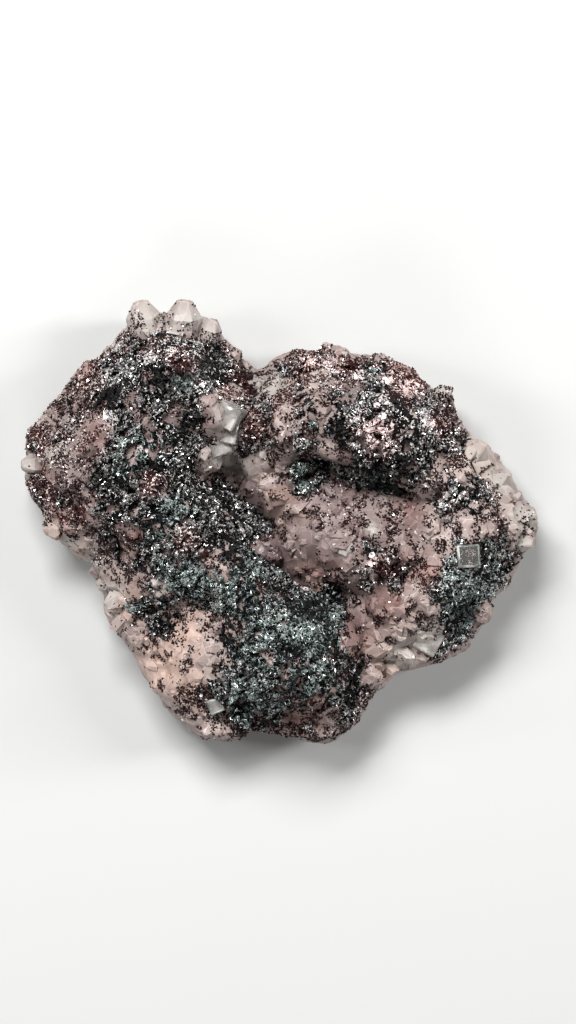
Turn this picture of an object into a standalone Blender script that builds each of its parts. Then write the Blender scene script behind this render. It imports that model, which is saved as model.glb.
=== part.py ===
"""A hand specimen of hematite on quartz with fluorite, lying on its flat back with the crystals up.

Metres, +Z up. The origin is the middle of the footprint's box, on the flat back. +Y points to the end with
the two tall quartz points, and +X to the tapered end. Sizes below are in millimetres unless a name says else.
"""

import math
import random

import bmesh
import bpy
from mathutils import Matrix, Vector, noise
from mathutils.geometry import delaunay_2d_cdt

MM = 0.001
SEED = 23

# The quartz body
OUTLINE = (
    (-32.5, 9.0), (-32.0, 11.5), (-30.0, 13.0), (-28.5, 15.0), (-26.5, 18.5), (-24.0, 20.0), (-20.0, 23.5),
    (-19.0, 26.0), (-15.0, 26.5), (-10.0, 26.0), (-8.0, 23.5), (-6.5, 21.5), (-3.0, 18.5), (-1.0, 20.0),
    (2.5, 21.5), (8.0, 21.5), (10.5, 20.5), (14.0, 20.4), (17.0, 19.0), (19.5, 16.5), (21.5, 16.0),
    (23.5, 11.5), (26.5, 9.5), (31.0, 3.0), (33.0, 0.5), (33.0, -3.0), (30.5, -5.5), (29.5, -8.0),
    (27.0, -10.5), (24.0, -16.0), (20.5, -18.0), (15.0, -19.5), (12.0, -22.0), (9.5, -26.0), (7.0, -28.0),
    (4.0, -28.0), (2.5, -27.0), (-3.5, -27.0), (-7.0, -28.0), (-10.5, -27.5), (-16.0, -21.5), (-17.0, -18.5),
    (-22.0, -12.0), (-22.0, -9.0), (-23.5, -5.5), (-28.0, -2.5), (-31.5, 3.0), (-32.5, 6.0),
)
RIM_HEIGHT = 8.5
BODY_HEIGHT = 15.0
SHOULDER = 7.0
UNEVENNESS = 0.9
UNEVENNESS_LENGTH = 6.0
SIDE_LEVELS = ((0.2, 0.5), (0.48, 0.6), (0.76, 0.1), (1.0, -0.9))
SIDE_ROUGHNESS = 0.5
BACK_EDGE_ROUGHNESS = 0.25
RIM_WANDER = 1.6
RIM_WANDER_LENGTH = 4.5

# Domes of the body: x, y, rise, long radius, short radius, heading of the long radius in degrees
DOMES = (
    (-12.0, 17.0, 5.0, 9.0, 7.5, 0.0),
    (-17.0, 5.0, 6.0, 11.0, 8.0, 70.0),
    (-7.5, -5.0, 5.5, 9.0, 5.0, 118.0),
    (1.5, -19.0, 6.0, 9.0, 6.0, 120.0),
    (14.0, 13.0, 8.5, 10.5, 6.5, 12.0),
    (3.0, 13.0, 3.0, 6.0, 5.0, 0.0),
    (25.0, -1.0, 3.5, 7.0, 6.0, 0.0),
    (24.0, -10.0, 2.5, 5.0, 5.0, 0.0),
    (12.5, -5.0, 2.0, 5.0, 4.0, 0.0),
)
CLEFT_COURSE = ((-7.5, 6.5), (-3.0, 0.0), (-0.5, -6.0), (3.5, -8.5), (9.5, -10.5), (10.8, -15.5), (12.5, -22.0))
CLEFT_DEPTH = 6.5
CLEFT_HALF_WIDTH = 3.2
# Ledges: the two ends of the edge, with the low side on the right going from first to second, drop, reach
LEDGES = (
    ((5.0, 9.0), (18.0, 4.5), 4.0, 6.5),
    ((-18.5, -11.0), (-9.5, -9.5), 2.5, 5.0),
    ((-10.5, 7.5), (-3.5, 9.0), 3.0, 3.5),
)
LEDGE_RUN = 0.9

# Crystals of the body's surface
BLOCK_SPACING = 2.8
CRUST_SPACING = 2.1
RIM_SPACING = 2.4
RIM_OFFSET = 1.0
SEED_WELD = 1e-7
CORNER_WELD = 0.4
SLIVER = 1e-3
BLOCK_RISE = (0.3, 1.5)
BLOCK_INSET = 0.24
BLOCK_TILT = 0.35
POINTED_SHARE = 0.55
POINT_RISE = (0.4, 1.1)
POINT_OFF_CENTRE = 0.55
TRIES = 26000

# Quartz points: x, y, width, length, heading and lean from upright in degrees
QUARTZ_POINTS = (
    (-17.3, 24.7, 5.0, 7.0, 100.0, 68.0),
    (-12.5, 24.6, 5.4, 7.2, 85.0, 70.0),
    (-9.2, 23.2, 3.2, 5.6, 75.0, 64.0),
    (-31.0, 7.2, 3.4, 4.6, 182.0, 66.0),
    (-24.2, 19.4, 2.2, 3.0, 128.0, 52.0),
    (8.0, 20.8, 2.6, 3.0, 92.0, 52.0),
    (21.0, 15.2, 2.8, 3.4, 50.0, 50.0),
    (25.2, 8.6, 4.2, 4.4, 50.0, 50.0),
    (28.4, 5.0, 3.4, 3.8, 42.0, 52.0),
    (30.2, 2.4, 1.8, 3.4, 48.0, 56.0),
    (31.4, 0.4, 3.4, 4.0, 20.0, 58.0),
    (31.2, -2.6, 3.4, 3.8, -12.0, 58.0),
    (-20.4, -10.4, 3.8, 4.4, 205.0, 62.0),
    (-29.0, -0.6, 2.6, 3.2, 215.0, 58.0),
    (-15.2, -21.4, 2.6, 3.0, 222.0, 54.0),
    (-6.6, -26.6, 2.4, 3.0, 262.0, 52.0),
    (5.6, -26.8, 2.4, 3.2, 280.0, 52.0),
    (14.4, -18.6, 3.0, 3.4, 300.0, 54.0),
    (26.0, -12.0, 2.6, 3.2, 330.0, 52.0),
    (7.4, 8.6, 2.2, 4.6, 168.0, 78.0),
)
POINT_SUNK = 0.42
POINT_TAPER = 0.9
POINT_TIP_SHARE = 0.42
POINT_BLUNT = (0.22, 0.42)
POINT_BLUNT_SHIFT = -0.05

# Hematite crusts, by the outline of the surface that they cover
CRUSTS = {
    "hematite_main_band": (
        (-19.0, 24.5), (-15.0, 25.5), (-10.5, 25.0), (-8.0, 22.5), (-3.5, 18.0), (-4.5, 16.5), (-9.0, 14.5),
        (-10.0, 10.5), (-10.5, 8.0), (-6.0, 3.0), (-3.0, 1.0), (-2.0, -3.5), (-0.5, -8.0), (6.0, -9.0),
        (8.5, -11.5), (9.5, -15.5), (11.5, -22.0), (8.0, -28.5), (-7.0, -28.5), (-9.5, -23.0), (-8.5, -20.0),
        (-5.0, -17.5), (-6.0, -12.0), (-10.0, -10.0), (-15.0, -13.5), (-18.5, -11.0), (-18.0, -7.0),
        (-23.0, -4.5), (-23.5, 7.0), (-22.0, 10.5), (-24.5, 16.0), (-22.0, 21.5),
    ),
    "hematite_west_rim": (
        (-33.5, 11.5), (-29.0, 12.5), (-28.0, 9.5), (-29.5, 5.5), (-28.5, 2.5), (-32.5, 2.5), (-34.0, 7.0),
    ),
    "hematite_north_west": (
        (-28.5, 15.0), (-27.0, 19.0), (-24.0, 20.0), (-25.2, 16.0), (-25.5, 12.0), (-27.5, 12.0),
    ),
    "hematite_south_west": ((-28.5, 3.0), (-24.5, 3.5), (-24.5, -1.0), (-27.5, -1.5)),
    "hematite_upper_right": (
        (-0.5, 20.5), (2.5, 22.0), (8.5, 22.0), (11.0, 21.5), (15.0, 21.5), (17.5, 19.5), (20.0, 16.5),
        (22.0, 16.5), (24.0, 11.5), (23.5, 8.5), (21.0, 7.0), (16.0, 4.0), (15.0, 1.5), (13.0, 2.0),
        (11.0, 5.0), (8.0, 7.0), (5.0, 8.5), (2.5, 10.5), (1.5, 13.5), (3.0, 16.0), (6.5, 16.0), (7.0, 18.5),
        (3.0, 19.0), (0.5, 18.5),
    ),
    "hematite_east_slope": (
        (18.5, 3.0), (22.0, 4.8), (26.0, 4.5), (27.5, 1.5), (24.5, 0.3), (20.5, 0.5),
    ),
    "hematite_south_east": (
        (24.5, -3.5), (28.5, -3.5), (31.0, -5.5), (28.0, -11.0), (24.5, -16.5), (20.5, -18.5), (20.5, -15.5),
        (22.0, -13.0), (19.5, -12.0), (19.0, -10.0), (21.5, -8.5), (20.5, -6.5), (22.0, -5.0),
    ),
    "hematite_slope_tuft": ((11.5, -2.5), (15.0, -3.5), (15.5, -7.5), (12.5, -8.5), (10.5, -6.0)),
    "hematite_ledge_tuft": ((0.6, 8.8), (5.0, 8.4), (5.3, 4.0), (1.0, 3.7)),
    "hematite_saddle_tuft": ((-5.2, 14.8), (-1.4, 15.0), (-0.8, 10.5), (-4.0, 9.6)),
}
GAP = 0.3
CRUST_EDGE = 0.55
CRUST_THICKNESS = 1.0
KNOB_RISE = (0.0, 1.3)

# Fluorite: x, y, side and heading in degrees of each cube, for each group that has grown into one
FLUORITES = {
    "fluorite_cleft_group": (
        (-8.2, 9.6, 3.3, 20.0), (-6.2, 13.2, 3.0, 62.0), (-4.8, 7.6, 2.8, 40.0), (-6.3, 11.0, 2.6, 75.0),
        (-2.6, 5.0, 3.2, 30.0),
    ),
    "fluorite_rim_group": ((16.4, -17.2, 2.8, 35.0), (19.0, -15.6, 3.2, 60.0)),
    "fluorite_east_cube": ((24.0, -4.7, 2.9, 4.0),),
    "fluorite_south_cube": ((-8.2, -23.8, 2.0, 22.0),),
}
CUBE_SHOWING = 0.62
CUBE_BEVEL = 0.16
CUBE_LEAN = 0.3
CUBE_TWIST = 0.05


def clear_scene():
    for obj in list(bpy.data.objects):
        bpy.data.objects.remove(obj)


def finish(name, colour, roughness, metallic):
    material = bpy.data.materials.new(name)
    material.use_nodes = True
    shader = material.node_tree.nodes["Principled BSDF"]
    shader.inputs["Base Color"].default_value = (*colour, 1.0)
    shader.inputs["Roughness"].default_value = roughness
    shader.inputs["Metallic"].default_value = metallic
    return material


def object_from(bm, name, material):
    """Turns a bmesh in millimetres into an object in metres."""
    bmesh.ops.scale(bm, vec=(MM, MM, MM), verts=bm.verts)
    bmesh.ops.recalc_face_normals(bm, faces=bm.faces)
    mesh = bpy.data.meshes.new(name)
    bm.to_mesh(mesh)
    bm.free()
    mesh.materials.append(material)
    obj = bpy.data.objects.new(name, mesh)
    bpy.context.scene.collection.objects.link(obj)
    return obj


def inside(x, y, polygon):
    """Whether a point is in a polygon, by counting the sides to its right."""
    crossings = 0
    for (ax, ay), (bx, by) in zip(polygon, polygon[1:] + polygon[:1]):
        if (ay > y) != (by > y) and x < ax + (y - ay) / (by - ay) * (bx - ax):
            crossings += 1
    return crossings % 2 == 1


def nearest_on(x, y, ends):
    """Distance to the segment, share of the way along it, and how far to its left the point lies."""
    (ax, ay), (bx, by) = ends
    along = Vector((bx - ax, by - ay))
    offset = Vector((x - ax, y - ay))
    share = max(0.0, min(1.0, offset.dot(along) / along.length_squared))
    left = along.normalized().cross(offset)
    return (offset - share * along).length, share, left


def sides_of(polygon):
    return list(zip(polygon, polygon[1:] + polygon[:1]))


def edge_distance(x, y):
    return min(nearest_on(x, y, side)[0] for side in sides_of(OUTLINE))


def smooth(share):
    share = max(0.0, min(1.0, share))
    return share * share * (3.0 - 2.0 * share)


def dome_rise(x, y):
    rise = 0.0
    for cx, cy, height, long_radius, short_radius, heading in DOMES:
        turn = math.radians(heading)
        along = (x - cx) * math.cos(turn) + (y - cy) * math.sin(turn)
        across = (y - cy) * math.cos(turn) - (x - cx) * math.sin(turn)
        rise += height * math.exp(-((along / long_radius) ** 2) - (across / short_radius) ** 2)
    return rise


def cleft_drop(x, y):
    course = zip(CLEFT_COURSE, CLEFT_COURSE[1:])
    distance = min(nearest_on(x, y, ends)[0] for ends in course)
    return CLEFT_DEPTH * math.exp(-((distance / CLEFT_HALF_WIDTH) ** 2))


def ledge_drop(x, y):
    drop = 0.0
    for start, end, height, reach in LEDGES:
        distance, _, left = nearest_on(x, y, (start, end))
        if left < 0.0:
            drop += height * smooth(-left / LEDGE_RUN) * math.exp(-((distance / reach) ** 2))
    return drop


def relief(x, y):
    """Height of the quartz surface over the flat back."""
    body = BODY_HEIGHT + dome_rise(x, y) - cleft_drop(x, y) - ledge_drop(x, y)
    shoulder = smooth(edge_distance(x, y) / SHOULDER)
    place = Vector((x, y, 0.0))
    rim = RIM_HEIGHT + RIM_WANDER * noise.noise(place / RIM_WANDER_LENGTH)
    return rim + (body - rim) * shoulder + UNEVENNESS * noise.noise(place / UNEVENNESS_LENGTH)


def slope_at(x, y):
    """Rise of the quartz surface for each millimetre along X and along Y."""
    return Vector((relief(x + 1, y) - relief(x - 1, y), relief(x, y + 1) - relief(x, y - 1))) / 2


def clear_of(x, y):
    """Height that leaves the gap over the quartz surface, measured square to its slope."""
    return relief(x, y) + GAP * math.sqrt(1.0 + slope_at(x, y).length_squared)


def crust_at(x, y):
    return next((name for name, polygon in CRUSTS.items() if inside(x, y, polygon)), None)


def rim_seeds():
    """Pairs of seeds on either side of the outline, so that the cells between them meet on it."""
    inner, outer = [], []
    for (ax, ay), (bx, by) in sides_of(OUTLINE):
        side = Vector((bx - ax, by - ay))
        count = max(1, round(side.length / RIM_SPACING))
        out = Vector((-side.y, side.x)).normalized() * RIM_OFFSET
        for i in range(count):
            place = Vector((ax, ay)) + side * (i + 0.5) / count
            inner.append(place - out)
            outer.append(place + out)
    return inner, outer


def spread_seeds(rng, taken):
    """Seeds inside the outline, closer together where a crust will lie."""
    seeds = list(taken)
    low_x, high_x = min(p[0] for p in OUTLINE), max(p[0] for p in OUTLINE)
    low_y, high_y = min(p[1] for p in OUTLINE), max(p[1] for p in OUTLINE)
    for _ in range(TRIES):
        place = Vector((rng.uniform(low_x, high_x), rng.uniform(low_y, high_y)))
        if not inside(*place, OUTLINE):
            continue
        apart = CRUST_SPACING if crust_at(*place) else BLOCK_SPACING
        if all((place - other).length_squared > apart * apart for other in seeds):
            seeds.append(place)
    return seeds


def circumcentre(a, b, c):
    ab, ac = b - a, c - a
    double_area = 2.0 * ab.cross(ac)
    return a + Vector((
        (ac.y * ab.length_squared - ab.y * ac.length_squared) / double_area,
        (ab.x * ac.length_squared - ac.x * ab.length_squared) / double_area,
    ))


def cells_around(seeds, count):
    """The corners shared by the cells, and the numbers of each cell's corners, counter-clockwise."""
    places, _, triangles, _, _, _ = delaunay_2d_cdt(seeds, [], [], 0, SEED_WELD)
    corners, around = [], {}
    for triangle in triangles:
        place = circumcentre(*(places[i] for i in triangle))
        close = (n for n, other in enumerate(corners) if (place - other).length < CORNER_WELD)
        number = next(close, len(corners))
        if number == len(corners):
            corners.append(place)
        for seed in triangle:
            around.setdefault(seed, set()).add(number)
    cells = {}
    for seed in range(count):
        centre = seeds[seed]
        cells[seed] = sorted(around[seed], key=lambda n: math.atan2(*(corners[n] - centre).yx))
    return corners, cells


def border_of(rings):
    """The sides that only one of these cells has, each from corner to corner."""
    directed = {pair for ring in rings for pair in zip(ring, ring[1:] + ring[:1])}
    return sorted((a, b) for a, b in directed if (b, a) not in directed)


def unpinched(members, cells):
    """The cells without those that only meet the rest at a corner."""
    members = sorted(members)
    while True:
        starts = [a for a, _ in border_of([cells[seed] for seed in members])]
        pinched = {n for n in starts if starts.count(n) > 1}
        if not pinched:
            return members
        members.remove(next(seed for seed in reversed(members) if pinched & set(cells[seed])))


def largest_patch(members, cells):
    """The largest group of cells that share sides."""
    owners = {}
    for seed in members:
        ring = cells[seed]
        for pair in zip(ring, ring[1:] + ring[:1]):
            owners.setdefault(frozenset(pair), []).append(seed)
    left, best = set(members), set()
    neighbours = {seed: set() for seed in members}
    for shared in owners.values():
        for seed in shared:
            neighbours[seed].update(shared)
    while left:
        group, waiting = set(), [min(left)]
        while waiting:
            seed = waiting.pop()
            if seed in left:
                left.discard(seed)
                group.add(seed)
                waiting.extend(neighbours[seed])
        best = max(best, group, key=len)
    return unpinched(best, cells)


def middle_of(ring, corners):
    return sum((corners[n] for n in ring), Vector((0.0, 0.0))) / len(ring)


def grow_block(bm, face, rng):
    """Raises a cell into a crystal: a block with a flat tilted top, or a low point."""
    centre = face.calc_center_median()
    reach = min((edge.verts[0].co + edge.verts[1].co - 2 * centre).length / 2 for edge in face.edges)
    bmesh.ops.inset_individual(bm, faces=[face], thickness=BLOCK_INSET * reach, depth=0.0)
    rise = rng.uniform(*BLOCK_RISE)
    slope = slope_at(*centre.xy)
    slope += Vector((rng.uniform(-BLOCK_TILT, BLOCK_TILT), rng.uniform(-BLOCK_TILT, BLOCK_TILT)))
    for vert in face.verts:
        vert.co.z = centre.z + rise + slope.dot((vert.co - centre).xy)
    if rng.random() < POINTED_SHARE:
        corner = rng.choice(list(face.verts)).co.copy()
        tip = bmesh.ops.poke(bm, faces=[face])["verts"][0]
        tip.co += (corner - tip.co) * rng.uniform(0.0, POINT_OFF_CENTRE)
        tip.co.z += rng.uniform(*POINT_RISE)


def outward_of(vert):
    """Level direction away from the body at a vertex of the rim."""
    out = Vector((0.0, 0.0))
    for edge in vert.link_edges:
        if edge.is_boundary:
            across = (edge.verts[1].co - edge.verts[0].co).xy.normalized().orthogonal()
            inward = edge.link_faces[0].calc_center_median().xy - vert.co.xy
            out -= across if across.dot(inward) > 0.0 else -across
    return out.normalized()


def grow_sides(bm, rng):
    """Extrudes the rim down to the flat back through rough levels, and closes the back."""
    rim = [edge for edge in bm.edges if edge.is_boundary]
    tops = {vert: (vert.co.copy(), outward_of(vert)) for edge in rim for vert in edge.verts}
    for share, outward in SIDE_LEVELS:
        made = bmesh.ops.extrude_edge_only(bm, edges=rim)["geom"]
        rim = [item for item in made if isinstance(item, bmesh.types.BMEdge)]
        below = {}
        for vert in dict.fromkeys(vert for edge in rim for vert in edge.verts):
            place, out = next(
                tops[edge.other_vert(vert)] for edge in vert.link_edges if edge.other_vert(vert) in tops
            )
            rough = BACK_EDGE_ROUGHNESS if share == 1.0 else SIDE_ROUGHNESS
            level = place.xy + out * (outward + rng.uniform(-rough, rough))
            height = 0.0 if share == 1.0 else place.z * (1.0 - share) + rng.uniform(-rough, rough)
            vert.co = (level.x, level.y, height)
            below[vert] = (place, out)
        tops = below
    bmesh.ops.contextual_create(bm, geom=rim)


def grow_body(corners, cells, covered, rng, material):
    """The quartz: plain under the crusts, crystals elsewhere on top, rough sides and a flat back."""
    bm = bmesh.new()
    used = sorted({n for ring in cells.values() for n in ring})
    verts = {n: bm.verts.new((*corners[n], relief(*corners[n]))) for n in used}
    blocks, under_crusts = [], []
    for seed, ring in cells.items():
        face = bm.faces.new([verts[n] for n in ring])
        if seed in covered:
            under_crusts.append((face, middle_of(ring, corners)))
        else:
            blocks.append(face)
    grow_sides(bm, rng)
    for face, middle in under_crusts:
        bmesh.ops.poke(bm, faces=[face])["verts"][0].co = (*middle, relief(*middle))
    for face in blocks:
        grow_block(bm, face, rng)
    bmesh.ops.triangulate(bm, faces=bm.faces)
    return object_from(bm, "quartz_matrix", material)


def lay_crust(name, members, corners, cells, rng, material):
    """A knobbly crust over these cells, one gap above the quartz."""
    bm = bmesh.new()
    rings = [cells[seed] for seed in members]
    sides = border_of(rings)
    border = {n for side in sides for n in side}
    low, high = {}, {}
    for n in sorted({n for ring in rings for n in ring}):
        floor = clear_of(*corners[n])
        low[n] = bm.verts.new((*corners[n], floor))
        high[n] = bm.verts.new((*corners[n], floor + (CRUST_EDGE if n in border else CRUST_THICKNESS)))
    for ring in rings:
        middle = middle_of(ring, corners)
        floor = clear_of(*middle)
        under = bm.faces.new([low[n] for n in reversed(ring)])
        bmesh.ops.poke(bm, faces=[under])["verts"][0].co = (*middle, floor)
        top = bm.faces.new([high[n] for n in ring])
        knob = floor + CRUST_THICKNESS + rng.uniform(*KNOB_RISE)
        bmesh.ops.poke(bm, faces=[top])["verts"][0].co = (*middle, knob)
    for a, b in sides:
        bm.faces.new([high[b], high[a], low[a], low[b]])
    bmesh.ops.triangulate(bm, faces=bm.faces)
    return object_from(bm, name, material)


def quartz_point(number, size, material):
    """A six-sided crystal that tapers to a small uneven end face, leaning out of the body."""
    x, y, width, length, heading, lean = size
    bm = bmesh.new()
    tip = width * POINT_TIP_SHARE
    prism = length - tip
    made = bmesh.ops.create_cone(
        bm, cap_ends=True, segments=6, radius1=width / 2, radius2=width / 2 * POINT_TAPER, depth=prism
    )["verts"]
    bmesh.ops.translate(bm, vec=(0, 0, prism / 2), verts=made)
    top = max(bm.faces, key=lambda face: face.calc_center_median().z)
    blunt = bmesh.ops.extrude_discrete_faces(bm, faces=[top])["faces"][0]
    for vert in blunt.verts:
        vert.co.x = vert.co.x * POINT_BLUNT[0] + width * POINT_BLUNT_SHIFT
        vert.co.y *= POINT_BLUNT[1]
        vert.co.z += tip
    turn = Matrix.Rotation(math.radians(heading), 4, "Z") @ Matrix.Rotation(math.radians(lean), 4, "Y")
    axis = (turn @ Vector((0, 0, 1, 0))).xyz
    foot = Vector((x, y, relief(x, y))) - axis * length * POINT_SUNK
    bmesh.ops.transform(bm, matrix=Matrix.Translation(foot) @ turn, verts=bm.verts)
    return object_from(bm, f"quartz_point_{number}", material)


def fluorite_group(name, cubes, rng, material):
    """Cubes grown into one another, as separate meshes for one union."""
    made = []
    for x, y, side, heading in cubes:
        bm = bmesh.new()
        bmesh.ops.create_cube(bm, size=side)
        bmesh.ops.bevel(
            bm, geom=bm.edges, offset=CUBE_BEVEL, segments=1, affect="EDGES", offset_type="OFFSET"
        )
        lean = Matrix.Rotation(rng.uniform(-CUBE_LEAN, CUBE_LEAN), 4, "X")
        lean @= Matrix.Rotation(rng.uniform(-CUBE_LEAN, CUBE_LEAN), 4, "Y")
        turn = Matrix.Rotation(math.radians(heading) + rng.uniform(-CUBE_TWIST, CUBE_TWIST), 4, "Z")
        height = relief(x, y) + side * (CUBE_SHOWING - 0.5)
        bmesh.ops.transform(bm, matrix=Matrix.Translation((x, y, height)) @ turn @ lean, verts=bm.verts)
        made.append(object_from(bm, name, material))
    return made


def helper_copy(obj):
    """A hidden copy with a mesh of its own, to cut a neighbour with."""
    copy = obj.copy()
    copy.data = obj.data.copy()
    copy.hide_render = True
    copy.display_type = "WIRE"
    bpy.context.scene.collection.objects.link(copy)
    return copy


def swollen(obj):
    """A copy whose faces stand one gap further out."""
    copy = helper_copy(obj)
    bm = bmesh.new()
    bm.from_mesh(copy.data)
    bm.normal_update()
    steps = [vert.normal * vert.calc_shell_factor() * GAP * MM for vert in bm.verts]
    for vert, step in zip(bm.verts, steps):
        vert.co += step
    bm.to_mesh(copy.data)
    bm.free()
    return copy


def lifted(obj):
    """A copy that lies one gap higher."""
    copy = helper_copy(obj)
    copy.data.transform(Matrix.Translation((0, 0, GAP * MM)))
    return copy


def boolean(obj, others, operation):
    """Applies an exact Boolean of the object with all of the others at once."""
    group = bpy.data.collections.new(obj.name + "_tools")
    bpy.context.scene.collection.children.link(group)
    for other in others:
        group.objects.link(other)
    step = obj.modifiers.new(operation.lower(), "BOOLEAN")
    step.operation = operation
    step.operand_type = "COLLECTION"
    step.collection = group
    step.solver = "EXACT"
    step.use_self = True
    graph = bpy.context.evaluated_depsgraph_get()
    obj.data = bpy.data.meshes.new_from_object(obj.evaluated_get(graph))
    obj.modifiers.clear()
    for other in others:
        bpy.data.objects.remove(other)
    bpy.data.collections.remove(group)


def islands(bm):
    """The groups of faces that hang together."""
    left, groups = set(bm.faces), []
    while left:
        group, waiting = [], [next(iter(left))]
        while waiting:
            face = waiting.pop()
            if face in left:
                left.discard(face)
                group.append(face)
                waiting.extend(other for edge in face.edges for other in edge.link_faces)
        groups.append(group)
    return groups


def keep_largest(obj):
    """Drops the crumbs that a cut leaves beside the main piece."""
    bm = bmesh.new()
    bm.from_mesh(obj.data)
    groups = sorted(islands(bm), key=lambda group: sum(face.calc_area() for face in group))
    crumbs = [face for group in groups[:-1] for face in group]
    bmesh.ops.delete(bm, geom=crumbs, context="FACES")
    bmesh.ops.triangulate(bm, faces=bm.faces)
    bmesh.ops.dissolve_degenerate(bm, dist=SLIVER * MM, edges=bm.edges)
    bm.to_mesh(obj.data)
    bm.free()


def centre_footprint():
    """Moves every piece level, so that the origin is the middle of the footprint's box."""
    meshes = [obj.data for obj in bpy.data.objects]
    places = [vert.co for mesh in meshes for vert in mesh.vertices]
    middle = [(min(p[i] for p in places) + max(p[i] for p in places)) / 2 for i in range(2)]
    for mesh in meshes:
        mesh.transform(Matrix.Translation((-middle[0], -middle[1], 0.0)))


def main():
    clear_scene()
    rng = random.Random(SEED)
    quartz = finish("quartz", (0.62, 0.52, 0.53), 0.35, 0.0)
    hematite = finish("hematite", (0.05, 0.06, 0.065), 0.3, 0.8)
    fluorite = finish("fluorite", (0.78, 0.72, 0.76), 0.12, 0.0)

    inner, outer = rim_seeds()
    seeds = spread_seeds(rng, inner)
    corners, cells = cells_around(seeds + outer, len(seeds))
    patches = {
        name: largest_patch([s for s in cells if crust_at(*seeds[s]) == name], cells) for name in CRUSTS
    }
    covered = {seed for members in patches.values() for seed in members}

    body = grow_body(corners, cells, covered, rng, quartz)
    points = [quartz_point(i, size, quartz) for i, size in enumerate(QUARTZ_POINTS)]
    groups = {name: fluorite_group(name, cubes, rng, fluorite) for name, cubes in FLUORITES.items()}
    for name, members in patches.items():
        crust = lay_crust(name, members, corners, cells, rng, hematite)
        in_the_way = points + [cube for cubes in groups.values() for cube in cubes]
        boolean(crust, [swollen(obj) for obj in in_the_way], "DIFFERENCE")
        keep_largest(crust)
    boolean(body, points, "UNION")
    keep_largest(body)
    for cubes in groups.values():
        first, *others = cubes
        if others:
            boolean(first, others, "UNION")
        boolean(first, [lifted(body)], "DIFFERENCE")
        keep_largest(first)
    centre_footprint()


main()
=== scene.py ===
"""The looks of a specimen of hematite on quartz with fluorite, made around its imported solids.

Lengths are in metres, and MM turns a millimetre into them. +Y is the end with the two tall quartz points.
"""

import math

import bpy
import numpy as np
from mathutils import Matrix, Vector, noise
from mathutils.bvhtree import BVHTree
from mathutils.kdtree import KDTree


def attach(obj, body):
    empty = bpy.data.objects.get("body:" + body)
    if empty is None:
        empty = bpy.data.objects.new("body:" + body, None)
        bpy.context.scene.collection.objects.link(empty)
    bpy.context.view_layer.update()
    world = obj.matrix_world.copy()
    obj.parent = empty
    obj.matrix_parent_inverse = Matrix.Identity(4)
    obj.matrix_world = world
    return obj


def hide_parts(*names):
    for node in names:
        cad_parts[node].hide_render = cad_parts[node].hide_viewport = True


MM = 0.001
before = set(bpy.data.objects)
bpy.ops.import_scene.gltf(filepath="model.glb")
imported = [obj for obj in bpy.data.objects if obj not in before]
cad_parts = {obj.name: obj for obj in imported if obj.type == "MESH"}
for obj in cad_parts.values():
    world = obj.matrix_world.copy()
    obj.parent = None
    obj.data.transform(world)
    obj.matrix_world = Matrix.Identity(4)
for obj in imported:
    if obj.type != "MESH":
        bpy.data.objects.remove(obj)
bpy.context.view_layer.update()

# The photograph's frame
PHOTO_WIDTH = 576
PHOTO_HEIGHT = 1024
SPECIMEN_MIDDLE_PX = (280, 522)
PIXEL = 0.13 * MM
CAMERA_HEIGHT = 450 * MM
OUTLINE_HEIGHT = 9 * MM

# Zones of the surface, each x, y and radius in millimetres
WINDOWS = (
    (-19.4, -1.6, 2.1), (-19.3, -3.8, 1.8), (-16.8, 22.3, 1.4), (-14.0, 20.8, 1.1), (-17.0, 18.6, 0.9),
    (-18.7, 15.8, 0.9), (-13.0, 14.2, 1.0), (-6.0, 17.0, 1.7), (-19.0, 10.6, 0.5), (-21.7, 12.0, 0.9),
    (-23.4, 11.8, 1.8), (-23.2, 9.3, 1.4), (8.8, 17.0, 1.8), (6.8, 17.4, 1.0), (5.8, 14.0, 1.4),
    (5.2, 18.6, 1.3), (5.6, 9.3, 1.8), (3.6, 13.3, 0.9), (-15.2, -8.4, 1.3), (-12.4, -10.9, 1.5),
    (-7.2, -6.0, 0.9), (5.0, -22.2, 1.1), (2.0, -25.4, 2.0), (6.6, -25.4, 1.7), (-3.2, -25.4, 1.0),
    (-30.5, 7.3, 1.6), (-29.0, 9.0, 1.7), (-26.8, 13.0, 1.2), (-26.0, 15.8, 1.5), (-29.5, 12.8, 1.1),
    (-25.0, 3.0, 1.5), (-22.2, 22.2, 1.2), (-20.0, 22.5, 1.0), (20.3, 8.0, 1.4), (-16.6, 12.3, 0.7),
)
RUDDY = (
    (-31.2, 4.7, 2.2), (-26.5, 0.9, 2.6), (-23.4, 10.0, 2.8), (-16.3, 4.7, 3.0), (-11.8, -2.4, 2.8),
    (3.9, 20.2, 3.4), (8.5, 20.0, 2.8), (16.4, 18.0, 3.8), (12.0, 10.7, 3.8), (13.4, -5.8, 3.0),
    (18.3, -7.7, 2.4), (0.9, 15.3, 2.4), (-4.0, 12.2, 3.2), (-5.0, 17.5, 3.2), (-25.0, 19.0, 2.2),
    (21.0, 13.0, 2.8), (-30.5, 11.0, 2.4), (-12.0, 20.0, 2.2), (-9.0, -4.5, 2.0), (4.5, -24.6, 3.0),
)
TEAL = (
    (-17.3, 8.2, 5.5), (-14.0, 0.0, 5.5), (-12.0, -8.0, 6.0), (-5.0, -8.0, 6.0), (-2.0, -15.0, 6.5),
    (4.0, -14.0, 6.0), (3.0, -21.0, 6.0), (-4.5, -23.0, 5.5), (24.0, -9.0, 8.0), (2.8, 6.0, 3.0),
    (12.4, 19.5, 1.8), (5.3, 11.4, 2.4), (12.4, 4.5, 3.0), (-12.0, 18.0, 2.0), (-20.0, -9.0, 4.0),
)
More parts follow.
